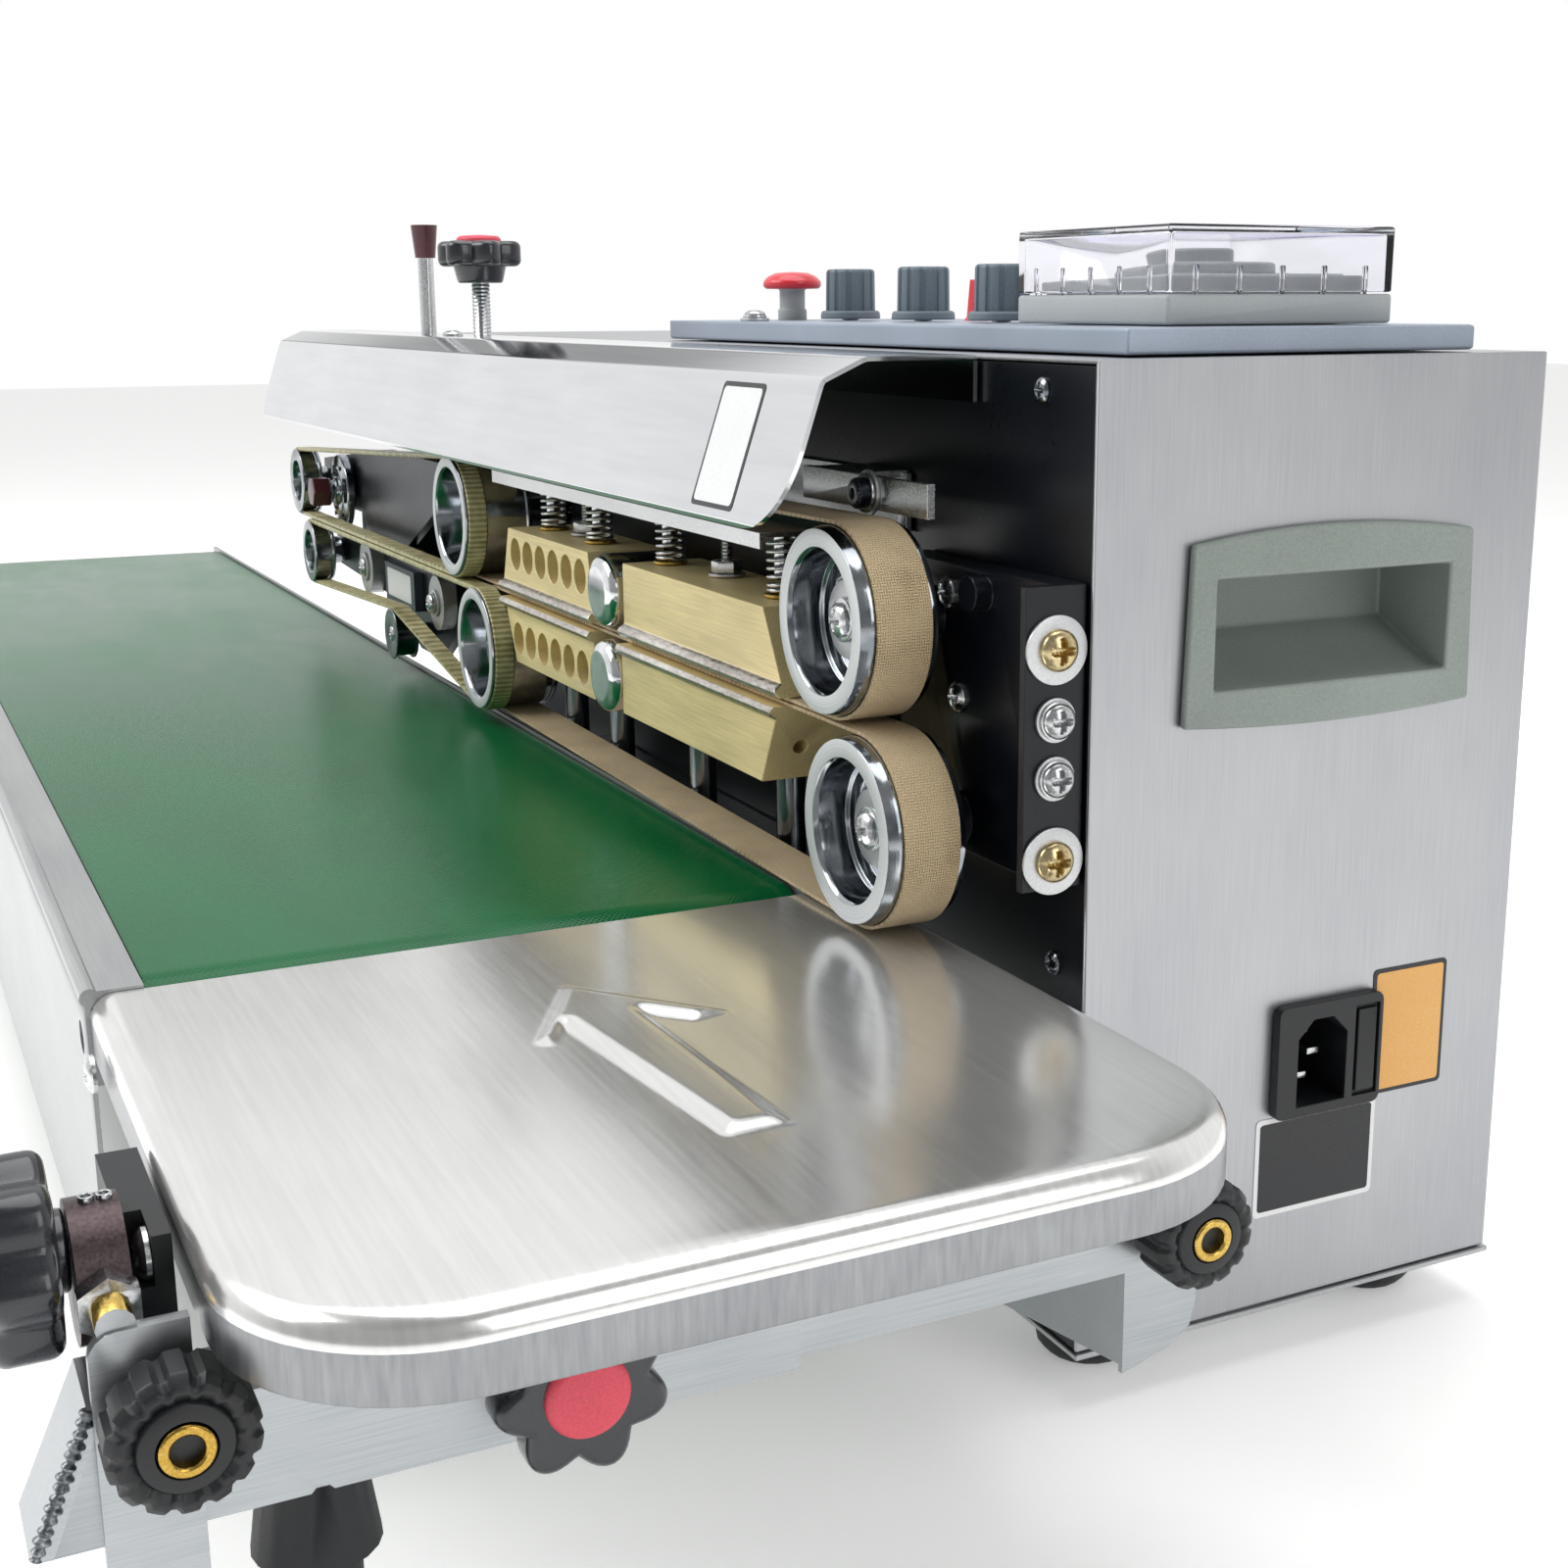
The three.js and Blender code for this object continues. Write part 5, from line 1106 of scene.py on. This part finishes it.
def fixed_screws():
    """Recessed cross heads with their washers, one for each line of the list."""
    for k, (x, y, z, r, dome, axis, facing, ring_r, finish) in enumerate(SCREWS):
        place_at = np.array([x, y, z], float)
        shells, looks = [], []
        step = np.array([axis == "x", axis == "y", axis == "z"], float)
        if ring_r:
            shells.append(washer(place_at, 1.6, ring_r, 1.1, axis, facing, 0.3))
            looks.append("zinc_washer")
            place_at = place_at + step * facing * 1.1
            if ring_r < 7:
                shells.append(washer(place_at, 1.6, r + 0.5, 0.9, axis, facing, 0.3))
                looks.append("zinc_bright")
                place_at = place_at + step * facing * 0.9
        shells.append(cross_head(place_at, r, dome, axis, facing))
        looks.append(finish)
        piece(f"screw_{k + 1:02d}", "casing", shells, looks)


# ---- knobs and controls
def star_knob(name, body, node, at, axis, facing, reach, count=6, outer=17.0, inner=12.6, cap="cap_red",
              stud=None,
              turn=0.0):
    """A star grip with a rounded edge, a tapered hub below it and a shallow domed cap in its middle."""
    base, low, high, cap_r = reach
    s = facing
    u, v = at
    grip = prism(lobes(count, outer, inner, at=(u, v), turn=turn), axis, low, high, edge=2.6, steps=5)
    centre_at = {"x": (0, u, v), "y": (u, 0, v), "z": (u, v, 0)}[axis]
    hub = spin([(0, s * base), (8.6, s * base), (9.2, s * (base + 0.8)), (10.8, s * (low + 1)),
                (0, s * (low + 1))], 0.6)
    lid = spin([(0, s * (high - 0.8)), (cap_r, s * (high - 0.8)), (cap_r, s * (high + 0.9)),
                (cap_r - 1.2, s * (high + 2.0)),
                (0, s * (high + 2.5))], 0.9, 4)
    shells = [grip, lathe(hub, centre_at, axis, 40), lathe(lid, centre_at, axis, 48)]
    looks = ["phenolic_black", "phenolic_black", cap]
    if stud:
        shells.append(lathe(thread(stud[0], *stud[1:], pitch=1.5), centre_at, axis, 24))
        looks.append("zinc_bright")
    return piece(name, body, shells, looks, (node,), angle=35)


def knobs():
    """Star grips are wavy outlines carried along their axes; clamp knobs and dials are lathes whose radius
    is cut by one flute a period, 1 - depth times the clipped cosine of the angle times the number of
    flutes."""
    px, py, _ = centre("pressure_knob")
    star_knob("pressure_star", "pressure_screw", "pressure_knob", (px, py), "z", 1,
              (TOP + 21.5, TOP + 28, TOP + 38, 9.0), stud=(3.8, TOP - 40, TOP + 24))
    low, high = span("arm_knob")
    ay, az = -160.0, NIP - 93.6
    star_knob("arm_star", "arm_lock", "arm_knob", (ay, az), "x", 1, (low[0], low[0] + 6, high[0] - 3, 8.6),
              count=7, outer=17.8, inner=13.6, turn=math.radians(-72))
    low, high = span("rail_knob")
    rx, _, rz = centre("rail_knob")
    rz = NIP - 62.2
    grip = prism(lobes(7, 19.4, 16.6, 0.7, at=(rx, rz)), "y", low[1] + 0.1, low[1] + 13, edge=3.0, steps=6)
    neck = spin([(0, -249), (8, -249), (7.8, -246.4), (7.4, -245.8), (0, -245.8)], 0.4)
    piece("rail_star", "rail_lock", [grip, lathe(neck, (rx, 0, rz), "y", 40)], "phenolic_black",
          ("rail_knob",), angle=35)
    for name, node, body in (("front_clamp", "front_clamp_knob", "front_lock"),
                             ("rear_clamp", "rear_clamp_knob", "rear_lock")):
        low, high = span(node)
        _, y, z = centre(node)
        r = (high[1] - low[1]) / 2
        x = low[0]
        at = (0, y, z)

        def flute(a):
            return 1 - 0.075 * np.clip(np.cos(a * 14) * 1.8 - 0.3, 0, 1)

        grip = spin([(0, x + 3), (r - 1.5, x + 3), (r, x + 4.5), (r, x + 13.5), (r - 1.6, x + 15.4),
                     (r - 3, x + 15.8),
                     (r - 5, x + 14.6), (6.2, x + 14.6), (0, x + 14.6)], 0.5)
        neck = spin([(0, x), (r * 0.62, x), (r * 0.62, x + 4), (0, x + 4)])
        insert = spin([(3.0, x + 8.5), (3.0, x + 16.6), (3.5, x + 17), (4.6, x + 17), (5, x + 16.6),
                       (5, x + 8.5), (3.0, x + 8.5)],
                      0.15, 2)
        cone = spin([(5.0, x + 14.5), (9.0, x + 14.5), (8.2, x + 15.8), (5.4, x + 16.4), (5.0, x + 14.5)],
                    0.2, 2)
        piece(name, body, [lathe(grip, at, "x", 168, squeeze=flute), lathe(neck, at, "x", 40),
                           lathe(insert, at, "x", 40),
                           lathe(cone, at, "x", 40)],
              ["nylon_black", "nylon_black", "brass_turned", "nylon_black"], (node,),
              angle=35)
    for k, node in enumerate(("knob_left", "knob_middle", "knob_right")):
        x, y, _ = centre(node)

        def fluted(a):
            return 1 - 0.09 * np.clip(np.cos(a * 12) * 2.0 - 0.2, 0, 1)

        d = DECK
        skirt = spin([(0, d + 0.6), (10.2, d + 0.6), (10.4, d + 1.0), (10.2, d + 2.8), (9.4, d + 3.4),
                      (0, d + 3.4)], 0.3)
        grip = spin([(0, d + 3), (8.6, d + 3), (8.4, d + 16.4), (7.9, d + 17.2), (6.8, d + 17.4),
                     (6.5, d + 17.0), (0, d + 17.0)],
                    0.3)
        shells = [lathe(skirt, (x, y, 0), "z", 56), lathe(grip, (x, y, 0), "z", 144, squeeze=fluted),
                  block((x - 0.5, x + 0.5), (y + 1.5, y + 6.4), (d + 16.8, d + 17.25), 0.15, 2),
                  lathe(spin([(0, d - 4.5), (3, d - 4.5), (3, d + 2), (0, d + 2)]), (x, y, 0), "z", 20)]
        piece("dial_" + node[5:], "dial_" + node[5:], shells,
              ["abs_slate", "abs_slate", "label_white", "zinc_bright"],
              (node,), angle=32)
    x, y, _ = centre("stop_button")
    d = DECK
    stem = spin([(0, d - 1), (5.2, d - 1), (5.2, d + 3.6), (4.6, d + 4.0), (4.6, d + 10.6), (5.4, d + 11),
                 (0, d + 11)], 0.3)
    head = spin([(0, d + 10.8), (9.6, d + 11.0), (10.6, d + 12.2), (10.4, d + 13.6), (8.6, d + 15.4),
                 (5.8, d + 16.6), (0, d + 17)],
                0.9, 5)
    piece("stop_mushroom", "stop", [lathe(head, (x, y, 0), "z", 64), lathe(stem, (x, y, 0), "z", 40)],
          ["pvc_red", "abs_pale_grey"], ("stop_button",), angle=35)


def thermostat():
    """Dial base, a dial card with a scale of ticks round the setting wheel, under the clear cover, and ribs
    on that cover.
    """
    (x0, y0, _), (x1, y1, _) = span("thermostat_base")
    xc, yc, d = (x0 + x1) / 2, (y0 + y1) / 2, DECK
    low = block((x0, x1), (y0, y1), (d + 0.3, d + 7.9), 1.0)
    island = prism(rounded(x0 + 5, x1 - 5, y0 + 5, y1 - 5, 3), "z", d + 7, d + 12.6, 0.6)
    card = prism(rounded(x0 + 9, x1 - 9, y0 + 9, y1 - 9, 2), "z", d + 12, d + 13.1, 0.3)
    wheel = spin([(0, d + 12.9), (19, d + 12.9), (19.4, d + 13.4), (19.4, d + 15.6), (18.6, d + 16.2),
                  (8.6, d + 16.2),
                  (8.2, d + 16.6), (8.2, d + 19.4), (7.4, d + 20), (0, d + 20)], 0.4)
    shells, looks = [low, island, card, lathe(wheel, (xc, yc, 0), "z", 96)], ["abs_pale_grey",
                                                                              "abs_pale_grey", "dial_card",
                                                                              "abs_pale_grey"]
    for k in range(41):
        a = math.radians(-30 + 240 * k / 40)
        r0, r1 = 21.0, 24.6 if k % 5 == 0 else 23.2
        w = 0.35 if k % 5 == 0 else 0.2
        c, s = math.cos(a), math.sin(a)
        bar = np.array([(r0, -w), (r1, -w), (r1, w), (r0, w), (r0, -w)])
        out = np.stack([xc + bar[:, 0] * c - bar[:, 1] * s, yc + bar[:, 0] * s + bar[:, 1] * c], -1)
        shells.append(prism(out, "z", d + 13.0, d + 13.25, 0.05, 1))
        looks.append("ink_dark")
    piece("thermostat_dial", "casing", shells, looks, ("thermostat_base",), angle=32)
    nibs = [block((x - 0.6, x + 0.6), (y0 + 0.4, y0 + 2.2), (d + 7.6, d + 15), 0.3, 2)
            for x in np.linspace(x0 + 9, x1 - 9, 5)]
    nibs += [block((x1 - 2.2, x1 - 0.4), (y - 0.6, y + 0.6), (d + 7.6, d + 15), 0.3, 2)
             for y in np.linspace(y0 + 9, y1 - 9, 5)]
    piece("thermostat_cover_ribs", "casing", nibs, "acrylic_clear")


# ---- labels, tray screws and the weld
def labels():
    """Blank stick-on labels: thin plates with round corners, with a border round a second field; the hood's
    label lies on the line y = y0 - k (z0 - z) of its slanted face."""
    shells = [prism(rounded(94, 120, TOP - 201.5, TOP - 165, 1.5), "x", 0.02, 0.22, 0.05, 1),
              prism(rounded(95.2, 118.8, TOP - 200.3, TOP - 166.2, 1.0), "x", 0.2, 0.3, 0.03, 1),
              prism(rounded(56, 97, TOP - 230.5, TOP - 202, 1.5), "x", 0.02, 0.22, 0.05, 1),
              prism(rounded(57.4, 95.6, TOP - 229, TOP - 203.5, 1.0), "x", 0.2, 0.3, 0.03, 1),
              prism(rounded(-CASE_L + 5, -CASE_L + 47, NIP - 27, NIP - 14, 1.0), "y", -34.3, -34.02, 0.05, 1)]
    piece("stick_on_labels", "casing", shells, ["label_black", "label_amber", "label_white", "label_black",
                                                "label_white"])
    low, high = span("hood")
    shells = []
    for edge, lift in ((0.0, 0.12), (1.3, 0.2)):
        outline = rounded(-114.8 + edge, -86.8 - edge, high[2] - 40.5 + edge, high[2] - 7.5 - edge, 1.5)
        z = outline[:, 1]
        y = -45.5 - 12.5 * (high[2] - 5.5 - z) / (high[2] - 7 - low[2])
        rows = np.stack([np.stack([outline[:, 0], y - k, z], -1) for k in (0.0, lift)])
        pts, quads, uv = grid(rows)
        n = len(outline)
        shells.append((pts, quads + [list(range(n - 2, -1, -1)), list(range(n, 2 * n - 1))], uv))
    piece("hood_label", "casing", shells, ["label_black", "label_white"])


def tray_screws():
    """Dome heads on the bearing plate under the tray, grub screws on the collar and a rippled weld on the
    arm's cap."""
    heads = [cross_head((40.5, -232.2, NIP - 64.0), 5.2, 2.8),
             cross_head((-62.0, -229.3, NIP - 64.5), 4.6, 2.6)]
    grubs = [lathe(spin([(0, 123.6), (1.5, 123.6), (1.5, 126.2), (0.9, 126.2), (0.9, 125.2), (0, 125.2)],
                        0.2), (x, y, 0), "z", 16)
             for x, y in ((35.0, -241.6), (35.0, -238.4))]
    t = np.linspace(0, 1, 90)
    path = np.stack([np.full_like(t, 60.0), -246.4 - 11.2 * t, 96.4 - 26.4 * t], -1)
    weld = sweep(path, 1.25 + 0.35 * np.sin(t * 88) + 0.2 * np.sin(t * 31), (1, 0, 0), 12)
    piece("tray_and_collar_screws", "conveyor", heads + grubs + [weld],
          ["zinc_bright"] * 2 + ["zinc_bright"] * 2 + ["weld_bead"])


def tension_screw():
    """The black screw on the tension arm: a knurled head on two spring washers."""
    at = (-80.0, 0, TOP - 36.5)
    head = spin([(0, -19.6), (4.0, -19.6), (4.0, -24.2), (3.2, -24.9), (1.4, -24.9), (1.2, -23.8),
                 (0, -23.8)], 0.3)
    shells = [lathe(head, at, "y", 72, squeeze=lambda a: 1 - 0.05 * np.clip(np.cos(a * 18) * 2, 0, 1)),
              washer((-80.0, -19.5, TOP - 36.5), 2.0, 6.2, 1.0, edge=0.3),
              washer((-80.0, -20.7, TOP - 36.5), 2.0, 5.4, 0.9, edge=0.3)]
    piece("tension_arm_screw", "casing", shells, ["phenolic_black", "zinc_washer", "zinc_bright"])


# ---- sheet work
def hood(size):
    """A folded sheet: a softened line from the back edge over the top to the lip, carried along the machine.
    The lip's right corner is round and its left one is cut off."""
    low, high = span("hood")
    left, right, top, lip = low[0], high[0], high[2], low[2]
    t = 1.2
    outer = soften([(-0.5, top - 12), (-0.5, top), (-33, top), (-45.5, top - 5.5), (-58, lip + 1.5),
                    (-57.6, lip)],
                   [0, 1.2, 1.5, 1.5, 0.8, 0], 6)
    runs = np.concatenate([[0], np.cumsum(np.linalg.norm(np.diff(outer, axis=0), axis=1))])
    s = np.unique(np.concatenate([runs, np.linspace(runs[-1] - 42, runs[-1], 40)]))
    outer = np.stack([np.interp(s, runs, outer[:, k]) for k in (0, 1)], -1)
    step = np.gradient(outer, axis=0)
    step /= np.linalg.norm(step, axis=1, keepdims=True)
    inner = outer + np.stack([-step[:, 1], step[:, 0]], -1) * t
    y, z = outer[:, 0], outer[:, 1]
    drop = np.clip((z - lip) / size.hood_corner, 0, 1)
    near = np.where(y < -40, size.hood_corner * (1 - np.sqrt(np.maximum(1 - (1 - drop) ** 2, 0))), 0)
    x_right = right - near
    x_left = left + np.where(y < -40, 8 * np.clip(1 - (z - lip) / 12, 0, 1), 0)
    q = np.linspace(0, 1, 60)[None, :]
    front = x_left[:, None] * (1 - q) + x_right[:, None] * q
    rows = np.concatenate([
        np.stack([front, np.broadcast_to(y[:, None], front.shape),
                  np.broadcast_to(z[:, None], front.shape)], -1),
        np.stack([front, np.broadcast_to(inner[:, :1], front.shape),
                  np.broadcast_to(inner[:, 1:], front.shape)], -1)[:, ::-1],
    ], axis=1)
    rows = np.concatenate([rows, rows[:, :1]], axis=1)
    pts, quads, uv = grid(rows)
    n = rows.shape[1]
    base = (rows.shape[0] - 1) * n
    shell = (pts, quads + [list(range(n - 2, -1, -1)), list(range(base, base + n - 1))], uv)
    piece("hood_sheet", "casing", [shell], "stainless_mirror", ("hood",), angle=32)


def arrow_height(x, y, lift):
    """Height of the pressed arrow: the inside distance to its outline, eased up to a flat ridge."""
    tip = np.array([(-40, -123.5), (-5, -95), (-4, -104), (-14, -113), (61, -110.5), (61, -124),
                    (-14, -132), (-4, -139),
                    (-6, -141)], float)
    p = np.stack([x, y], -1)
    nearest = np.full(x.shape, 1e9)
    inside = np.zeros(x.shape, bool)
    for a, b in zip(tip, np.roll(tip, -1, 0)):
        ab = b - a
        t = np.clip(((p - a) @ ab) / (ab @ ab), 0, 1)
        nearest = np.minimum(nearest, np.linalg.norm(p - a - t[..., None] * ab, axis=-1))
        crosses = (a[1] > y) != (b[1] > y)
        at = a[0] + (y - a[1]) * ab[0] / np.where(abs(ab[1]) < 1e-9, 1e-9, ab[1])
        inside ^= crosses & (x < at)
    d = np.where(inside, nearest, -nearest)
    e = np.clip((d + 1.2) / 4.4, 0, 1)
    return lift * e * e * (3 - 2 * e)


def tray(size):
    """The tray as a fan of lines from its edge to the middle line: skirt, quarter-round shoulder, then the
    flat top with the pressed arrow and a slight wave left by the press."""
    low, high = span("infeed_tray")
    left, right, front, back, floor = low[0], high[0], low[1], high[1], low[2]
    top, r, soft = 125.2, 40.0, 6.0
    mid = -121.0
    xs = np.concatenate([np.linspace(left, -46, 10)[:-1], np.arange(-46, right - r, 1.3), [right - r]])
    q = np.linspace(0, math.pi / 2, 15)[1:]
    ys = np.linspace(front + r, back - r, 26)[1:]
    edge = np.vstack([np.stack([xs, np.full(len(xs), front)], -1),
                      np.stack([right - r + r * np.sin(q), front + r - r * np.cos(q)], -1),
                      np.stack([np.full(len(ys), right), ys], -1),
                      np.stack([right - r + r * np.cos(q), back - r + r * np.sin(q)], -1),
                      np.stack([xs[::-1], np.full(len(xs), back)], -1)[1:]])
    normal = np.vstack([np.tile([0, 1.0], (len(xs), 1)), np.stack([-np.sin(q), np.cos(q)], -1),
                        np.tile([-1.0, 0], (len(ys), 1)),
                        np.stack([-np.cos(q), -np.sin(q)], -1), np.tile([0, -1.0], (len(xs) - 1, 1))])
    goal = np.stack([np.minimum(edge[:, 0], right - r - 2), np.full(len(edge), mid)], -1)
    turn = np.linspace(0, math.pi / 2, 9)
    rings = [(0.9, floor + 0.1), (0.25, floor), (0, floor + 0.5), (0, floor + 8)] + [
        (soft * (1 - math.cos(a)), top - soft + soft * math.sin(a)) for a in turn]
    rows = [np.column_stack([edge + normal * o, np.full(len(edge), h)]) for o, h in rings]
    start_at = edge + normal * soft
    for t in np.concatenate([np.linspace(0, 0.68, 9)[1:], np.linspace(0.7, 1, 30)]):
        flat = start_at * (1 - t) + goal * t
        wave = 0.10 * np.sin(flat[:, 0] / 23) * np.sin(flat[:, 1] / 31) * min(1, t * 4)
        rows.append(np.column_stack([flat, top + wave + arrow_height(flat[:, 0], flat[:, 1],
                                                                     size.arrow_lift)]))
    # the skirt rows take the darker copy of the tray's steel, a painted dark reflection
    piece("tray_sheet", "conveyor", [grid(np.stack(rows[:5])), grid(np.stack(rows[4:]))],
          ["stainless_skirt_painted_dark_reflection", "stainless_polished_tray"], ("infeed_tray",), bevel=0.2,
          angle=60,
          wall=size.tray_wall)


# ---- add-on
class StageSettings(bpy.types.PropertyGroup):
    """Camera, floor and light."""

    lens: bpy.props.FloatProperty(name="Lens", description="Focal length for a 36 mm sensor, mm",
                                  default=46.94,
                                  subtype="DISTANCE_CAMERA")
    shift_x: bpy.props.FloatProperty(name="Shift", description="Sideways lens shift, share of the width",
                                     default=-0.045)
    camera_turn: bpy.props.FloatProperty(name="Turn", description="Camera azimuth",
                                         default=math.radians(63.33),
                                         subtype="ANGLE")
    camera_tilt: bpy.props.FloatProperty(name="Tilt", description="How far it looks down",
                                         default=math.radians(13.25),
                                         subtype="ANGLE")
    camera_roll: bpy.props.FloatProperty(name="Roll", description="Camera roll", default=math.radians(-0.21),
                                         subtype="ANGLE")
    camera_from_corner: bpy.props.FloatVectorProperty(
        name="Stand", description="Camera place from the casing's top right front corner, m",
        default=(0.4120, -0.2716, 0.0132), subtype="XYZ")
    floor_size: bpy.props.FloatProperty(name="Floor", description="Side of the floor, m", default=14.0,
                                        unit="LENGTH")
    key_light: bpy.props.FloatProperty(name="Key light", description="Power of the key softbox, W",
                                       default=26.0)
    world_light: bpy.props.FloatProperty(name="World", description="Brightness behind the machine",
                                         default=1.0)
    flag_depth: bpy.props.FloatProperty(name="Flag",
                                        description="How dark the flag over the hood is, share", default=0.62)


class SheetSettings(bpy.types.PropertyGroup):
    """Sizes of the folded and pressed sheets, mm."""

    hood_corner: bpy.props.FloatProperty(name="Hood corner",
                                         description="Radius of the hood's lower corner, mm", default=22.0)
    arrow_lift: bpy.props.FloatProperty(name="Arrow", description="Height of the pressed arrow, mm",
                                        default=1.4)
    tray_wall: bpy.props.FloatProperty(name="Tray sheet", description="Tray sheet thickness, mm", default=1.2)


def colour_property(name, description, hex_colour):
    """A colour of the add-on, given as sRGB hex and held as linear values."""
    return bpy.props.FloatVectorProperty(name=name, description=description, subtype="COLOR", size=3,
                                         min=0.0, max=1.0,
                                         default=linear(hex_colour)[:3])


class ColourSettings(bpy.types.PropertyGroup):
    """Colours that set the machine's look."""

    belt_green: colour_property("Belt green", "Skin of the conveyor belt", "#005a30")
    knob_black: colour_property("Knob black", "Phenolic star knobs", "#151920")
    cap_red: colour_property("Cap red", "Caps on the star knobs", "#d8485a")
    button_red: colour_property("Button red", "Stop button and toggle", "#d22636")
    handle_grey: colour_property("Handle grey", "Moulded side handles", "#848d87")
    dial_slate: colour_property("Dial slate", "Three control knobs", "#69757e")
    panel_blue_grey: colour_property("Panel blue-grey", "Anodised control panel", "#98a2b0")
    jaw_brass: colour_property("Jaw brass", "Heating and cooling blocks", "#e3d09a")


class SEALER_OT_stage(bpy.types.Operator):
    """Build the floor, the world, the lights and the camera"""

    bl_idname = "sealer.stage"
    bl_label = "Stage"

    def execute(self, context):
        build_stage(context.scene.sealer_stage)
        return {"FINISHED"}


class SEALER_OT_kept(bpy.types.Operator):
    """Weld and round the frame's own shapes and give them their finishes"""

    bl_idname = "sealer.kept"
    bl_label = "Frame shapes"

    def execute(self, context):
        for node, (finish, slot, edge) in KEPT.items():
            refined(node, finish, edge, ZONES.get(node, ()), cut_walls=node == "casing_shell")
        return {"FINISHED"}


class SEALER_OT_idlers(bpy.types.Operator):
    """Turn the two idler wheels and their axle screws"""

    bl_idname = "sealer.idlers"
    bl_label = "Idler wheels"

    def execute(self, context):
        idler_wheels()
        return {"FINISHED"}


class SEALER_OT_bands(bpy.types.Operator):
    """Carry the two woven bands round their wheels"""

    bl_idname = "sealer.bands"
    bl_label = "Sealing bands"

    def execute(self, context):
        sealing_bands()
        return {"FINISHED"}


class SEALER_OT_drives(bpy.types.Operator):
    """Turn the two drive wheels with their gears"""

    bl_idname = "sealer.drives"
    bl_label = "Drive wheels"

    def execute(self, context):
        drive_wheels()
        return {"FINISHED"}


class SEALER_OT_belts(bpy.types.Operator):
    """Cut the two toothed belts"""

    bl_idname = "sealer.belts"
    bl_label = "Guide belts"

    def execute(self, context):
        guide_belts()
        return {"FINISHED"}


class SEALER_OT_rollers(bpy.types.Operator):
    """Turn the press wheels, guide pulleys and coding wheel"""

    bl_idname = "sealer.rollers"
    bl_label = "Pulleys and press wheels"

    def execute(self, context):
        press_wheels()
        guide_pulleys()
        coder()
        return {"FINISHED"}


class SEALER_OT_springs(bpy.types.Operator):
    """Wind the jaw springs and set the hexagon bolts"""

    bl_idname = "sealer.springs"
    bl_label = "Springs and bolts"

    def execute(self, context):
        springs()
        hex_bolts()
        return {"FINISHED"}


class SEALER_OT_screws(bpy.types.Operator):
    """Set the cross-head screws and washers"""

    bl_idname = "sealer.screws"
    bl_label = "Screws"

    def execute(self, context):
        fixed_screws()
        tray_screws()
        tension_screw()
        return {"FINISHED"}


class SEALER_OT_knobs(bpy.types.Operator):
    """Mould the star knobs, clamp knobs, dials and stop button"""

    bl_idname = "sealer.knobs"
    bl_label = "Knobs and button"

    def execute(self, context):
        knobs()
        return {"FINISHED"}


class SEALER_OT_thermostat(bpy.types.Operator):
    """Build the dial card, its scale and the cover ribs"""

    bl_idname = "sealer.thermostat"
    bl_label = "Thermostat"

    def execute(self, context):
        thermostat()
        return {"FINISHED"}


class SEALER_OT_labels(bpy.types.Operator):
    """Stick on the blank labels"""

    bl_idname = "sealer.labels"
    bl_label = "Labels"

    def execute(self, context):
        labels()
        return {"FINISHED"}


class SEALER_OT_sheets(bpy.types.Operator):
    """Fold the hood and press the tray"""

    bl_idname = "sealer.sheets"
    bl_label = "Hood and tray"

    def execute(self, context):
        hood(context.scene.sealer_sheets)
        tray(context.scene.sealer_sheets)
        return {"FINISHED"}


class SEALER_PT_panel(bpy.types.Panel):
    """Lists the steps that dress the machine"""

    bl_idname = "SEALER_PT_panel"
    bl_label = "Band Sealer"
    bl_space_type = "VIEW_3D"
    bl_region_type = "UI"
    bl_category = "Band Sealer"

    def draw(self, context):
        for step in STEPS:
            self.layout.operator(step.bl_idname)


SETTINGS = {"sealer_stage": StageSettings, "sealer_sheets": SheetSettings, "sealer_colours": ColourSettings}
STEPS = [
    SEALER_OT_stage, SEALER_OT_kept, SEALER_OT_idlers, SEALER_OT_bands, SEALER_OT_drives, SEALER_OT_belts,
    SEALER_OT_rollers, SEALER_OT_springs, SEALER_OT_screws, SEALER_OT_knobs, SEALER_OT_thermostat,
    SEALER_OT_labels,
    SEALER_OT_sheets,
]


def register():
    for cls in (*SETTINGS.values(), *STEPS, SEALER_PT_panel):
        bpy.utils.register_class(cls)
    for name, cls in SETTINGS.items():
        setattr(bpy.types.Scene, name, bpy.props.PointerProperty(type=cls))


def unregister():
    for name in SETTINGS:
        delattr(bpy.types.Scene, name)
    for cls in reversed((*SETTINGS.values(), *STEPS, SEALER_PT_panel)):
        bpy.utils.unregister_class(cls)


def main():
    """Registers the add-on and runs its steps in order."""
    register()
    for step in STEPS:
        space, name = step.bl_idname.split(".")
        if getattr(getattr(bpy.ops, space), name)() != {"FINISHED"}:
            raise RuntimeError(step.bl_idname + " did not finish")


if __name__ == "__main__":
    main()
